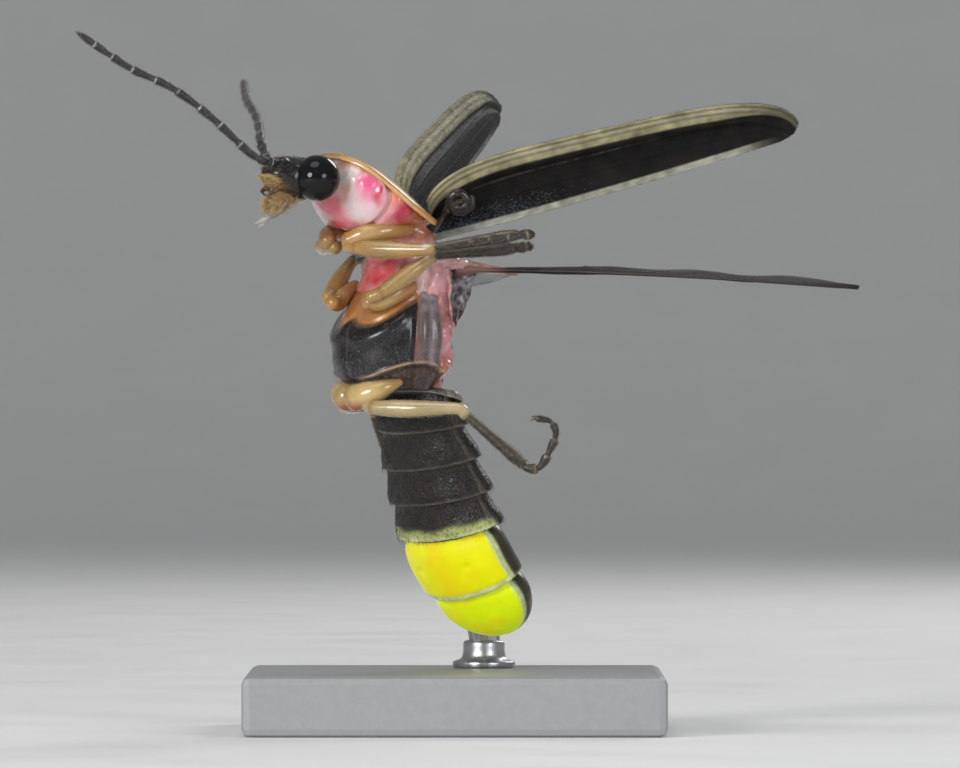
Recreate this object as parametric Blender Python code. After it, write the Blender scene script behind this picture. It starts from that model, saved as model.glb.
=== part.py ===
"""A male firefly in flight, life size, held on a plain display stand.

The body hangs steeply, head up, with its underside to the left and its back
to the right. Sizes are in millimetres and become metres when a mesh is made.
Places are measured from the middle of the hind thorax, along +X to the right,
+Y away and +Z up. On the body itself they run along its own back, left side
and front instead, so that the two sides stay alike.
"""

from math import cos, radians, sin, sqrt, tau

import bmesh
import bpy
from mathutils import Matrix, Vector

MM = 0.001
GAP = 0.25

# The middle of the hind thorax above the middle of the base's underside
BODY_AT = Vector((-1.375, -1.125, 9.8))
BODY_YAW = 37.0
HEAD_PITCH = 84.0
COLLAR_PITCH = 61.0

LIMB_RADIUS = 0.24
TIP_RADIUS = 0.07
LIMB_SIDES = 8
BODY_SIDES = 24

# Feelers as right, away and up, from the head to the tip
ANTENNA_JOINTS = 11
ANTENNA_LEFT = ((-3.36, -2.90, 4.42), (-3.72, -2.98, 4.64), (-4.63, -3.15, 5.48),
                (-5.60, -3.40, 6.20), (-6.65, -3.65, 6.70), (-7.88, -3.95, 7.53))
ANTENNA_RIGHT = ((-3.44, -2.04, 4.88), (-3.48, -1.45, 5.16), (-3.60, -0.60, 5.60),
                 (-3.85, 0.60, 6.02), (-3.97, 2.10, 6.53))
PALP_LEFT = ((-2.97, -2.74, 3.10), (-3.20, -2.90, 3.02), (-3.52, -3.05, 2.88))
PALP_RIGHT = ((-3.22, -2.00, 3.08), (-3.36, -1.96, 2.96), (-3.46, -1.90, 2.80))

EYE_RADIUS = 0.575
EYE_APART = 1.30
HEAD_WEB = 0.25
HEAD_AT = (-3.04, 4.00)

COLLAR_AT = (-0.125, 3.41)
SHIELD_LENGTH = 2.35
SHIELD_HALF_WIDTH = 1.80
SHIELD_CROWN = 0.24
SHIELD_DROOP = 0.54
SHIELD_THICK = 0.44
SHIELD_RIM = 0.30

ELYTRON_LENGTH = 9.45
ELYTRON_PEAK = 4.25
ELYTRON_LEAD = 1.19
ELYTRON_TRAIL = 0.64
ELYTRON_THICK = 0.48
ELYTRON_CAMBER = 0.26
ELYTRON_RAISED = {1: 0.225, -1: 0.30}
# Ridges by column across a wing: the share of its length they reach, and height
ELYTRON_RIBS = {0: (1.1, 0.05), 1: (1.1, 0.05), 4: (0.80, 0.05), 7: (0.86, 0.05), 11: (1.1, 0.04)}

HINDWING_LENGTH = 10.3
HINDWING_CHORD = 3.5
HINDWING_THICK = 0.44
VEIN_RAISED = 0.07
HINDWING_VEINS = {0: (1.0, 0.05), 3: (0.80, VEIN_RAISED), 6: (0.94, VEIN_RAISED),
                  9: (0.66, VEIN_RAISED), 12: (0.44, VEIN_RAISED)}
# Veins across a wing, by row: the first and last column
CROSS_VEINS = {13: (3, 6), 9: (6, 9), 6: (9, 12)}

SEGMENTS = 4
SEGMENT_LENGTH = 0.90
LANTERN_LENGTH = 1.25
TAIL_YAW = 41.0
TAIL_TWIST = 49.0
# The tail's middle line as back and up, from the thorax to the tip
TAIL_LINE = ((0.62, -1.30), (0.64, -1.62), (0.80, -2.33), (1.03, -3.05), (1.28, -3.75),
             (1.64, -4.70), (2.04, -5.45), (2.57, -6.13), (3.15, -6.85), (3.60, -7.55))

BASE_SIZE = (10.5, 10.5, 1.5)
BASE_BEVEL = 0.2
ROD_RADIUS = 0.4
ROD_SIDES = 12

MATERIALS = {
    "cuticle_black": ((0.012, 0.011, 0.012), 0.30),
    "eye_black": ((0.004, 0.004, 0.005), 0.08),
    "shield_rose": ((0.72, 0.42, 0.22), 0.40),
    "flesh_pink": ((0.82, 0.42, 0.46), 0.40),
    "leg_tan": ((0.55, 0.33, 0.14), 0.38),
    "leg_dark": ((0.035, 0.030, 0.026), 0.45),
    "elytron_dark": ((0.030, 0.030, 0.028), 0.45),
    "hindwing_smoke": ((0.060, 0.055, 0.055), 0.35),
    "lantern_yellow": ((0.80, 0.78, 0.10), 0.45),
    "stand_grey": ((0.55, 0.55, 0.56), 0.40),
    "stand_steel": ((0.62, 0.62, 0.63), 0.30),
}
METALS = ("stand_steel",)


def clear_scene():
    for item in list(bpy.data.objects):
        bpy.data.objects.remove(item, do_unlink=True)
    for mesh in list(bpy.data.meshes):
        bpy.data.meshes.remove(mesh)


def make_material(name):
    material = bpy.data.materials.get(name)
    if material:
        return material
    colour, roughness = MATERIALS[name]
    material = bpy.data.materials.new(name)
    material.use_nodes = True
    shader = material.node_tree.nodes["Principled BSDF"]
    shader.inputs["Base Color"].default_value = (*colour, 1.0)
    shader.inputs["Roughness"].default_value = roughness
    shader.inputs["Metallic"].default_value = 1.0 if name in METALS else 0.0
    return material


def make_object(name, mesh_data, material, at=BODY_AT):
    """Turn a bmesh in millimetres round a place into one named object."""
    bmesh.ops.recalc_face_normals(mesh_data, faces=mesh_data.faces)
    bmesh.ops.transform(mesh_data, matrix=Matrix.Translation(at), verts=mesh_data.verts)
    bmesh.ops.scale(mesh_data, vec=(MM, MM, MM), verts=mesh_data.verts)
    mesh = bpy.data.meshes.new(name)
    mesh_data.to_mesh(mesh)
    mesh_data.free()
    mesh.materials.append(make_material(material))
    mesh.shade_smooth()
    mesh.set_sharp_from_angle(angle=radians(40))
    item = bpy.data.objects.new(name, mesh)
    bpy.context.scene.collection.objects.link(item)
    return item


def body_axes(yaw=BODY_YAW, pitch=0.0):
    """Front, left and back of a body piece, pitched towards its underside."""
    turn = radians(yaw)
    bend = radians(pitch)
    flat_back = Vector((cos(turn), sin(turn), 0.0))
    left = Vector((sin(turn), -cos(turn), 0.0))
    up = Vector((0.0, 0.0, 1.0))
    front = up * cos(bend) - flat_back * sin(bend)
    back = flat_back * cos(bend) + up * sin(bend)
    return front, left, back


def body_point(back, left, up):
    """A place on the body by its distance to the back, the left and upward."""
    _, left_axis, back_axis = body_axes()
    return back_axis * back + left_axis * left + Vector((0.0, 0.0, up))


def blend(low, high, share):
    return low + (high - low) * share


def smooth_path(points, steps):
    """A smooth curve through the points, with some steps to each stretch."""
    spots = [Vector(point) for point in points]
    spots = [spots[0] * 2 - spots[1]] + spots + [spots[-1] * 2 - spots[-2]]
    path = []
    for a, b, c, d in zip(spots, spots[1:], spots[2:], spots[3:]):
        for step in range(steps):
            t = step / steps
            path.append(0.5 * (2 * b + (c - a) * t + (2 * a - 5 * b + 4 * c - d) * t**2
                               + (3 * b - a - 3 * c + d) * t**3))
    path.append(spots[-2])
    return path


def path_lengths(path):
    """How far along a path each of its points lies."""
    lengths = [0.0]
    for before, after in zip(path, path[1:]):
        lengths.append(lengths[-1] + (after - before).length)
    return lengths


def point_at(path, lengths, station):
    """The place on a path at a distance from its start."""
    for index in range(1, len(path)):
        if station <= lengths[index]:
            share = (station - lengths[index - 1]) / (lengths[index] - lengths[index - 1])
            return path[index - 1].lerp(path[index], share)
    return path[-1]


def ring(centre, back, left, depth, width, sides=BODY_SIDES):
    """A closed loop of points; depth is (back, underside), width is half."""
    points = []
    for index in range(sides):
        angle = tau * index / sides
        reach = depth[0] if cos(angle) > 0 else depth[1]
        points.append(centre + back * (reach * cos(angle)) + left * (width * sin(angle)))
    return points


def loft(rings):
    """A closed skin over rings of equal count, with flat ends."""
    skin = bmesh.new()
    loops = [[skin.verts.new(point) for point in points] for points in rings]
    count = len(loops[0])
    for near, far in zip(loops, loops[1:]):
        for index in range(count):
            after = (index + 1) % count
            skin.faces.new((near[index], near[after], far[after], far[index]))
    skin.faces.new(loops[0])
    skin.faces.new(loops[-1])
    return skin


def tube(path, radii, sides=LIMB_SIDES):
    """A closed round tube along a path, with a radius for each point."""
    tangents = []
    for index in range(len(path)):
        before = path[max(index - 1, 0)]
        after = path[min(index + 1, len(path) - 1)]
        tangents.append((after - before).normalized())
    side = tangents[0].orthogonal().normalized()
    rings = []
    for point, tangent, radius in zip(path, tangents, radii):
        side = (side - tangent * side.dot(tangent)).normalized()
        other = tangent.cross(side)
        rings.append(ring(point, side, other, (radius, radius), radius, sides))
    return loft(rings)


def sheet(grid, thick, normal=None):
    """A closed plate round a grid of middle points, split alike on both faces.

    thick gives half the plate's depth at row and column, along the normal given
    or else square to the grid.
    """
    rows = len(grid)
    columns = len(grid[0])
    skin = bmesh.new()
    faces = {1: [], -1: []}
    for row in range(rows):
        for way in faces:
            faces[way].append([])
        for column in range(columns):
            along = grid[min(row + 1, rows - 1)][column] - grid[max(row - 1, 0)][column]
            across = grid[row][min(column + 1, columns - 1)] - grid[row][max(column - 1, 0)]
            out = (normal or along.cross(across).normalized()) * thick(row, column)
            faces[1][row].append(skin.verts.new(grid[row][column] + out))
            faces[-1][row].append(skin.verts.new(grid[row][column] - out))
    for points in faces.values():
        for row in range(rows - 1):
            for column in range(columns - 1):
                a = points[row][column]
                b = points[row][column + 1]
                c = points[row + 1][column + 1]
                d = points[row + 1][column]
                skin.faces.new((a, b, c))
                skin.faces.new((a, c, d))
    edge = [(row, 0) for row in range(rows)]
    edge += [(rows - 1, column) for column in range(1, columns)]
    edge += [(row, columns - 1) for row in range(rows - 2, -1, -1)]
    edge += [(0, column) for column in range(columns - 2, 0, -1)]
    for (row, column), (next_row, next_column) in zip(edge, edge[1:] + edge[:1]):
        skin.faces.new((faces[1][row][column], faces[1][next_row][next_column],
                        faces[-1][next_row][next_column], faces[-1][row][column]))
    return skin


def cut_ball(centre, radius, flat_at, outward, rings=12, sides=24):
    """A ball cut flat where outward from flat_at begins, kept on that side."""
    ball = bmesh.new()
    bmesh.ops.create_uvsphere(ball, u_segments=sides, v_segments=rings, radius=radius)
    turn = Vector((0.0, 0.0, 1.0)).rotation_difference(outward)
    place = Matrix.Translation(centre) @ turn.to_matrix().to_4x4()
    bmesh.ops.transform(ball, matrix=place, verts=ball.verts)
    every = ball.verts[:] + ball.edges[:] + ball.faces[:]
    bmesh.ops.bisect_plane(ball, geom=every, plane_co=flat_at, plane_no=outward,
                           clear_inner=True, dist=0.0001)
    rim = [edge for edge in ball.edges if edge.is_boundary]
    bmesh.ops.holes_fill(ball, edges=rim)
    return ball


def cut_away(item, cutter):
    """Cut one object out of another and keep the cutter as a hidden guide."""
    cutter.hide_render = True
    cutter.display_type = "WIRE"
    cut = item.modifiers.new("cut", "BOOLEAN")
    cut.operation = "DIFFERENCE"
    cut.object = cutter
    cut.solver = "EXACT"


def side_name(side):
    return "left" if side > 0 else "right"


def make_head():
    """The black head, with a seat cut on each side for an eye."""
    front, left, back = body_axes(pitch=HEAD_PITCH)
    middle = body_point(HEAD_AT[0], 0.0, HEAD_AT[1])
    profile = ((-0.42, 0.35, 0.30, 0.40), (-0.25, 0.48, 0.48, 0.75), (0.05, 0.55, 0.58, 0.92),
               (0.45, 0.50, 0.72, 0.86), (0.78, 0.42, 0.70, 0.66), (1.02, 0.26, 0.42, 0.40))
    rings = [ring(middle + front * ahead, back, left, (top, under), width)
             for ahead, top, under, width in profile]
    head = make_object("head", loft(rings), "cuticle_black")
    for side in (1, -1):
        outward = left * side
        eye_at = middle + outward * (EYE_APART / 2)
        flat_at = middle + outward * (HEAD_WEB + GAP)
        eye = cut_ball(eye_at, EYE_RADIUS, flat_at, outward)
        make_object(f"eye_{side_name(side)}", eye, "eye_black")
        seat = cut_ball(eye_at, EYE_RADIUS + GAP, middle + outward * HEAD_WEB, outward)
        cut_away(head, make_object(f"guide_eye_seat_{side_name(side)}", seat, "eye_black"))


def make_antenna(side, points):
    """A thread of joints, each a little wider at its far end."""
    path = smooth_path(points, 12)
    lengths = path_lengths(path)
    stations = []
    radii = []
    for joint in range(ANTENNA_JOINTS):
        taper = blend(1.0, 0.55, max(0.0, joint - 4) / (ANTENNA_JOINTS - 5))
        for share, swell in ((0.0, 0.80), (0.35, 0.96), (0.85, 1.06)):
            stations.append((joint + share) / ANTENNA_JOINTS * lengths[-1])
            radii.append(LIMB_RADIUS * taper * swell)
    stations.append(lengths[-1])
    radii.append(TIP_RADIUS)
    centres = [point_at(path, lengths, station) for station in stations]
    make_object(f"antenna_{side_name(side)}", tube(centres, radii), "leg_dark")


def make_palp(side, points):
    path = smooth_path(points, 3)
    last = len(path) - 1
    radii = [blend(LIMB_RADIUS, 0.13, index / last) for index in range(last)] + [TIP_RADIUS]
    make_object(f"palp_{side_name(side)}", tube(path, radii), "leg_tan")


def make_pronotum():
    """The shield over the collar, arched across and rounded at its front."""
    front, left, back = body_axes(pitch=COLLAR_PITCH)
    start = body_point(COLLAR_AT[0], 0.0, COLLAR_AT[1])
    rows = 12
    columns = 13
    grid = []
    for row in range(rows):
        share = sin(row / (rows - 1) * tau / 4)
        half = SHIELD_HALF_WIDTH * sqrt(max(0.0, 1.0 - (0.97 * share) ** 2.1))
        line = []
        for column in range(columns):
            across = 2 * column / (columns - 1) - 1
            offset = half * across
            wide = offset / SHIELD_HALF_WIDTH
            height = SHIELD_CROWN * 4 * share * (1 - share) * (1 - wide**2)
            height -= SHIELD_DROOP * wide**2
            corner = 0.18 * abs(wide) ** 3 * (1 - share)
            ahead = SHIELD_LENGTH * share - corner
            line.append(start + front * ahead + left * offset + back * (height - 0.14))
        grid.append(line)

    def thick(row, column):
        across = abs(2 * column / (columns - 1) - 1)
        inner = 1 - max(across, row / (rows - 1)) ** 3
        return blend(SHIELD_RIM, SHIELD_THICK, inner) / 2

    make_object("pronotum", sheet(grid, thick), "shield_rose")


def make_prothorax():
    """The soft body under the shield, with the front legs below it."""
    front, left, back = body_axes(pitch=COLLAR_PITCH)
    start = body_point(COLLAR_AT[0], 0.0, COLLAR_AT[1]) - back * 0.84
    profile = ((0.0, 0.13, 0.38, 1.00), (0.3, 0.20, 0.42, 1.24), (0.8, 0.27, 0.44, 1.36),
               (1.3, 0.26, 0.41, 1.24), (1.65, 0.20, 0.33, 0.94), (1.85, 0.14, 0.22, 0.64))
    rings = [ring(start + front * ahead, back, left, (top, under), width)
             for ahead, top, under, width in profile]
    make_object("prothorax", loft(rings), "flesh_pink")


def make_mesothorax():
    """The bend of the body between the collar and the hind thorax."""
    profile = ((0.02, 1.33, 0, 0.95, 0.85, 1.30), (0.06, 1.75, 8, 0.88, 0.75, 1.25),
               (0.04, 2.12, 20, 0.62, 0.68, 1.08), (-0.06, 2.42, 38, 0.48, 0.60, 1.00),
               (-0.30, 2.58, 61, 0.36, 0.46, 0.95))
    rings = []
    for middle, up, pitch, top, under, width in profile:
        _, left, back = body_axes(pitch=pitch)
        rings.append(ring(body_point(middle, 0.0, up), back, left, (top, under), width))
    make_object("mesothorax", loft(rings), "flesh_pink")


def make_metathorax():
    """The deep black hind thorax that carries the wings and the hind legs."""
    profile = ((1.08, 1.00, 1.00, 1.36), (0.80, 1.08, 1.28, 1.46), (0.40, 1.14, 1.50, 1.54),
               (0.00, 1.15, 1.62, 1.56), (-0.50, 1.10, 1.66, 1.50), (-0.85, 1.00, 1.58, 1.42),
               (-1.00, 0.92, 1.46, 1.32))
    _, left, back = body_axes()
    rings = [ring(body_point(0.0, 0.0, up), back, left, (top, under), width)
             for up, top, under, width in profile]
    make_object("metathorax", loft(rings), "cuticle_black")


def tail_ring(path, lengths, station, depth, width, size=1.0):
    """A ring across the tail, which turns a little more to the side below."""
    here = point_at(path, lengths, station)
    ahead = point_at(path, lengths, min(station + 0.2, lengths[-1]))
    behind = point_at(path, lengths, max(station - 0.2, 0.0))
    along = (behind - ahead).normalized()
    turn = blend(BODY_YAW, TAIL_TWIST, min(1.0, station / 2.0))
    _, _, flat_back = body_axes(yaw=turn)
    back = (flat_back - along * flat_back.dot(along)).normalized()
    left = back.cross(along)
    return ring(here, back, left, (depth * size, depth * size), width * size)


def make_tail():
    """The dark abdomen with stepped segments, then the two lantern segments."""
    _, _, away = body_axes(yaw=TAIL_YAW)
    path = smooth_path([away * back + Vector((0.0, 0.0, up)) for back, up in TAIL_LINE], 8)
    lengths = path_lengths(path)
    rings = []
    for segment in range(SEGMENTS):
        grow = segment / (SEGMENTS - 1)
        depth = blend(0.80, 0.88, grow)
        width = blend(1.38, 1.53, grow)
        for share, size in ((0.02, 0.90), (0.30, 0.95), (0.88, 1.04), (0.98, 1.02)):
            station = (segment + share) * SEGMENT_LENGTH
            rings.append(tail_ring(path, lengths, station, depth, width, size))
    make_object("abdomen", loft(rings), "cuticle_black")

    first = SEGMENTS * SEGMENT_LENGTH + GAP
    profile = ((0.0, 0.82, 1.46), (0.4, 0.87, 1.53), (1.0, 0.86, 1.50), (LANTERN_LENGTH, 0.81, 1.42))
    rings = [tail_ring(path, lengths, first + along, depth, width)
             for along, depth, width in profile]
    make_object("lantern_1", loft(rings), "lantern_yellow")

    second = first + LANTERN_LENGTH + GAP
    profile = ((0.0, 0.76, 1.38), (0.4, 0.77, 1.36), (0.80, 0.70, 1.20), (1.12, 0.56, 0.94),
               (1.34, 0.36, 0.60), (1.45, 0.16, 0.28))
    rings = [tail_ring(path, lengths, second + along, depth, width)
             for along, depth, width in profile]
    make_object("lantern_2", loft(rings), "lantern_yellow")


def ridge_height(ridges, along, column):
    """How far a ridge stands out of a wing here; each column's ridge ends at a share."""
    if column not in ridges:
        return 0.0
    ends_at, height = ridges[column]
    return height * min(1.0, max(0.0, (ends_at - along) / 0.08))


def make_elytron(side):
    """A wing case, raised and spread, its outer edge bowed and inner one straight."""
    front, left, back = body_axes()
    span = back * 0.777 + left * (0.589 * side) + front * ELYTRON_RAISED[side]
    span.normalize()
    chord = back * 0.45 - front * 0.80
    chord = (chord - span * chord.dot(span)).normalized()
    lift = span.cross(chord) * side
    root = body_point(0.50, 0.58 * side, 3.10)
    rows = 22
    columns = 12
    grid = []
    for row in range(rows):
        share = row / (rows - 1)
        along = ELYTRON_LENGTH * (1 - (1 - share) ** 1.25)
        reach = ELYTRON_PEAK * 1.03 if along < ELYTRON_PEAK else ELYTRON_LENGTH - ELYTRON_PEAK
        away = abs(along - ELYTRON_PEAK) / reach
        lead = ELYTRON_LEAD * sqrt(max(0.02, 1 - away**3))
        trail = blend(ELYTRON_TRAIL, 0.10, (along / ELYTRON_LENGTH) ** 1.5)
        line = []
        for column in range(columns):
            across = column / (columns - 1)
            offset = blend(-lead, trail, across)
            camber = ELYTRON_CAMBER * 4 * across * (1 - across) * sqrt(max(0.0, 1 - away**4))
            line.append(root + span * along + chord * offset + lift * camber)
        grid.append(line)

    def thick(row, column):
        return ELYTRON_THICK / 2 + ridge_height(ELYTRON_RIBS, row / (rows - 1), column)

    make_object(f"elytron_{side_name(side)}", sheet(grid, thick, lift), "elytron_dark")


def make_hindwing(side):
    """A flying wing, spread level with its front edge to the underside."""
    front, left, back = body_axes()
    span = (back * 0.60 + left * (0.80 * side) - front * 0.045).normalized()
    chord = (back * 0.80 - left * (0.60 * side) + front * 0.03).normalized()
    chord = (chord - span * chord.dot(span)).normalized()
    root = body_point(1.06, 0.98 * side, 1.76)
    rows = 24
    columns = 15
    grid = []
    for row in range(rows):
        along = row / (rows - 1)
        lead = 0.35 + 0.35 * sin(along * tau / 4)
        lead *= sqrt(max(0.02, 1 - along**7))
        trail = 0.25 + (HINDWING_CHORD - 1.0) * sin(min(1.0, along / 0.42) * tau / 4) ** 1.4
        trail *= sqrt(max(0.012, 1 - max(0.0, (along - 0.30) / 0.70) ** 2.6))
        line = []
        for column in range(columns):
            offset = blend(-lead, trail, column / (columns - 1))
            line.append(root + span * (HINDWING_LENGTH * along) + chord * offset)
        grid.append(line)

    def thick(row, column):
        vein = ridge_height(HINDWING_VEINS, row / (rows - 1), column)
        if row in CROSS_VEINS and CROSS_VEINS[row][0] <= column <= CROSS_VEINS[row][1]:
            vein = max(vein, VEIN_RAISED * 0.7)
        return HINDWING_THICK / 2 + vein

    make_object(f"hindwing_{side_name(side)}", sheet(grid, thick), "hindwing_smoke")


# Each leg as right, away and up: its thigh from the body, its shin, its foot
LEGS = {
    "fore_left": (((-1.28, -1.46, 2.33), (-0.98, -1.74, 2.28), (-0.40, -2.00, 2.23),
                   (0.60, -2.38, 2.22)),
                  ((0.94, -2.40, 2.27), (2.72, -2.44, 2.56)),
                  ((3.04, -2.47, 2.60), (3.28, -2.78, 2.60), (3.04, -3.04, 2.56),
                   (2.40, -3.10, 2.50), (1.80, -3.10, 2.42))),
    "mid_left": (((-0.70, -1.72, 1.05), (-0.35, -1.74, 1.22), (0.60, -1.62, 1.90)),
                 ((0.95, -1.60, 2.11), (2.66, -1.60, 2.25)),
                 ((2.98, -1.58, 2.28), (3.22, -1.28, 2.32), (3.04, -0.88, 2.34),
                  (2.70, -0.25, 2.32))),
    "hind_left": (((-0.85, -1.20, -1.52), (-0.62, -1.52, -1.68), (0.40, -1.84, -1.72),
                   (1.42, -2.10, -1.72)),
                  ((1.76, -2.16, -1.95), (2.94, -2.33, -2.97)),
                  ((3.17, -2.36, -3.18), (3.48, -2.37, -3.16), (3.72, -2.37, -2.76),
                   (3.88, -2.37, -2.36), (3.76, -2.37, -2.04), (3.40, -2.37, -1.95))),
    "fore_right": (((-1.60, -0.80, 2.30), (-1.84, -0.40, 2.34), (-1.92, 0.30, 2.34),
                    (-1.92, 1.20, 2.36)),
                   ((-1.86, 1.52, 2.38), (-1.50, 3.30, 2.58)),
                   ((-1.44, 3.58, 2.60), (-1.30, 4.20, 2.60), (-1.24, 4.74, 2.42))),
    "mid_right": (((-1.80, -0.22, 1.05), (-1.70, 0.15, 1.22), (-1.30, 1.03, 1.84)),
                  ((-1.17, 1.34, 2.03), (-0.70, 2.95, 2.14)),
                  ((-0.63, 3.24, 2.17), (-0.60, 3.80, 2.24), (-0.62, 4.30, 2.18))),
    "hind_right": (((-1.38, -0.48, -1.52), (-1.38, 0.06, -1.64), (-1.12, 1.00, -1.62),
                    (-0.76, 1.92, -1.62)),
                   ((-0.64, 2.26, -1.94), (-0.15, 2.85, -3.30)),
                   ((-0.08, 2.95, -3.54), (0.04, 3.16, -4.06), (0.16, 3.54, -4.46))),
}


def make_leg(name, thigh, shin, foot):
    """A leg in three pieces that meet at the knee and the ankle."""
    path = smooth_path(thigh, 4)
    last = len(path) - 1
    radii = []
    for index in range(last + 1):
        share = index / last
        radii.append(LIMB_RADIUS * (1.12 - 0.22 * abs(share - 0.45)))
    make_object(f"leg_{name}_femur", tube(path, radii), "leg_tan")

    path = smooth_path(shin, 4)
    make_object(f"leg_{name}_tibia", tube(path, [LIMB_RADIUS * 0.98] * len(path)), "leg_dark")

    path = smooth_path(foot, 4)
    last = len(path) - 1
    radii = [blend(0.18, 0.10, index / last) for index in range(last)] + [TIP_RADIUS]
    make_object(f"leg_{name}_tarsus", tube(path, radii), "leg_dark")


def make_stand():
    """A flat square base with one rod that rises behind the tail to the back."""
    height = BASE_SIZE[2]
    block = bmesh.new()
    bmesh.ops.create_cube(block, size=1.0)
    bmesh.ops.scale(block, vec=BASE_SIZE, verts=block.verts)
    base = make_object("stand_base", block, "stand_grey", at=Vector((0.0, 0.0, height / 2)))
    bevel = base.modifiers.new("edge", "BEVEL")
    bevel.width = BASE_BEVEL * MM
    bevel.segments = 2
    foot = height + GAP - BODY_AT.z
    rod = ((2.10, 3.75, foot), (2.06, 3.72, foot + 0.8), (1.35, 3.15, -4.50),
           (0.60, 2.58, -1.00), (0.40, 2.40, -0.32), (0.24, 2.06, 0.02), (0.06, 1.62, 0.10))
    path = smooth_path(rod, 4)
    make_object("stand_rod", tube(path, [ROD_RADIUS] * len(path), ROD_SIDES), "stand_steel")


def main():
    clear_scene()
    make_head()
    make_antenna(1, ANTENNA_LEFT)
    make_antenna(-1, ANTENNA_RIGHT)
    make_palp(1, PALP_LEFT)
    make_palp(-1, PALP_RIGHT)
    make_pronotum()
    make_prothorax()
    make_mesothorax()
    make_metathorax()
    make_tail()
    for side in (1, -1):
        make_elytron(side)
        make_hindwing(side)
    for name, pieces in LEGS.items():
        make_leg(name, *pieces)
    make_stand()


main()
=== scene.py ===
"""The looks of a male firefly in flight on its display stand.

Shapes are worked out in millimetres from the middle of the hind thorax, along
+X to the right, +Y away and +Z up, and become metres when a mesh is made. On
the body itself places run along its back, its left side and upward.
"""

import random
from math import cos, exp, pi, radians, sin, sqrt, tau

import bmesh
import bpy
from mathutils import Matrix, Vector, noise


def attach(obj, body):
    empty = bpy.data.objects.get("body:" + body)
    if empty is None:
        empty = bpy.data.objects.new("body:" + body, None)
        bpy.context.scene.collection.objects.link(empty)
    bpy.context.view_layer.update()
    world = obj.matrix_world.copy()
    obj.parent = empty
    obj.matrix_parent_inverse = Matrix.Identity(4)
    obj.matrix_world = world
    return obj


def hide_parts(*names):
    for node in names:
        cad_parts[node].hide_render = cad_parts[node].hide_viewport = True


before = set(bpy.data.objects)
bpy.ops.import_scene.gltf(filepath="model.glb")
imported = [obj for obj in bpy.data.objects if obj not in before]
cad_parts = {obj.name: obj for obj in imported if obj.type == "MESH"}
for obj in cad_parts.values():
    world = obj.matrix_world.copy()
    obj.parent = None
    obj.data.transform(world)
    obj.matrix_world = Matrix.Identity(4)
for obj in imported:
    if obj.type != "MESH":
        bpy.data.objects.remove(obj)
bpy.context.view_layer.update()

MM = 0.001
BODY_AT = Vector((-1.375, -1.125, 9.8))
BODY_YAW = 37.0
HEAD_PITCH = 84.0
COLLAR_PITCH = 61.0
HEAD_AT = (-3.04, 4.00)
COLLAR_AT = (-0.125, 3.41)
EYE_RADIUS = 0.575
EYE_APART = 1.30

# Where each of the antenna's eleven joints ends, as a share of its length
ANTENNA_ENDS = (0.061, 0.105, 0.214, 0.325, 0.432, 0.541, 0.642, 0.742, 0.838, 0.921, 1.0)

SHIELD_LENGTH = 2.35
SHIELD_HALF_WIDTH = 1.80
SHIELD_CROWN = 0.24
SHIELD_DROOP = 0.52

ELYTRON_LENGTH = 9.45
ELYTRON_PEAK = 4.25
ELYTRON_LEAD = 1.19
ELYTRON_TRAIL = 0.64
ELYTRON_CAMBER = 0.26
ELYTRON_RAISED = {1: 0.225, -1: 0.30}

HINDWING_LENGTH = 10.3
HINDWING_CHORD = 3.5

SEGMENTS = 4
SEGMENT_LENGTH = 0.90
LANTERN_LENGTH = 1.25
TAIL_YAW = 41.0
TAIL_TWIST = 49.0
TAIL_LINE = ((0.62, -1.30), (0.64, -1.62), (0.80, -2.33), (1.03, -3.05), (1.28, -3.75),
             (1.64, -4.70), (2.04, -5.45), (2.57, -6.13), (3.15, -6.85), (3.60, -7.55))
GAP = 0.25

# Points round each ring of the belly and the lanterns
TAIL_COLUMNS = 160

# How wide a hair is on its coat's map
HAIR_PATCH = 0.003

# The pixel where the middle of the hind thorax is in the photograph, and its scale
PHOTO_BODY = (400, 340)
PHOTO_PIXELS_PER_MM = 40

# The camera looks level along +Y; the photograph is 24 mm wide at the body
VIEW_DISTANCE = 250.0
VIEW_WIDTH = 24.0
VIEW_MIDDLE = (0.625, 8.7)

BLACK = (0.007, 0.0065, 0.007)
WHITE = (0.75, 0.64, 0.62)
PINK = (0.78, 0.12, 0.27)
ROSE = (0.56, 0.035, 0.085)
YELLOW = (0.64, 0.59, 0.0)
LIME = (0.52, 0.70, 0.0)

# How solid the wing skin is between its veins, how strongly the lanterns glow,
# and the part of a noise's values that is used
MEMBRANE_SOLID = 0.40
LANTERN_GLOW = 0.55
NOISE_RANGE = (0.3, 0.7)

WORLD_STRENGTH = 0.27

# The room's flat radius, the radius of the curve up to its wall, and its height
ROOM_RADIUS = 330.0
ROOM_CURVE = 160.0
ROOM_HEIGHT = 420.0
ROOM_SIDES = 96


# Geometry

def blend(low, high, share):
    """A number between two numbers."""
    return low + (high - low) * share


def mix(first, second, share):
    """A colour between two colours."""
    share = min(1.0, max(0.0, share))
    return tuple(blend(a, b, share) for a, b in zip(first, second))


def degrees_round(round_):
    """Degrees from the back to the underside, alike on both sides."""
    return 360 * min(round_, 1 - round_)


def shaded(colour, share):
    """A colour made darker or lighter."""
    return tuple(channel * share for channel in colour)


def ease(low, high, value):
    """0 below low, 1 above high, and smooth between them."""
    share = min(1.0, max(0.0, (value - low) / (high - low)))
    return share * share * (3 - 2 * share)


def hump(middle, width, value):
    """1 at the middle, falling smoothly to nothing about twice a width away."""
    return exp(-((value - middle) / width) ** 2)


def wobble(point, size, seed=0.0):
    """Smooth noise from -1 to 1 with features of about that size."""
    return noise.noise(Vector(point) / size + Vector((seed, seed * 0.7, -seed)))


def mottled(first, second, point, level, strength, size, seed=0.0):
    """A colour between two, which varies over the surface in patches of about that size."""
    return mix(first, second, level + strength * wobble(point, size, seed))


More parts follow.
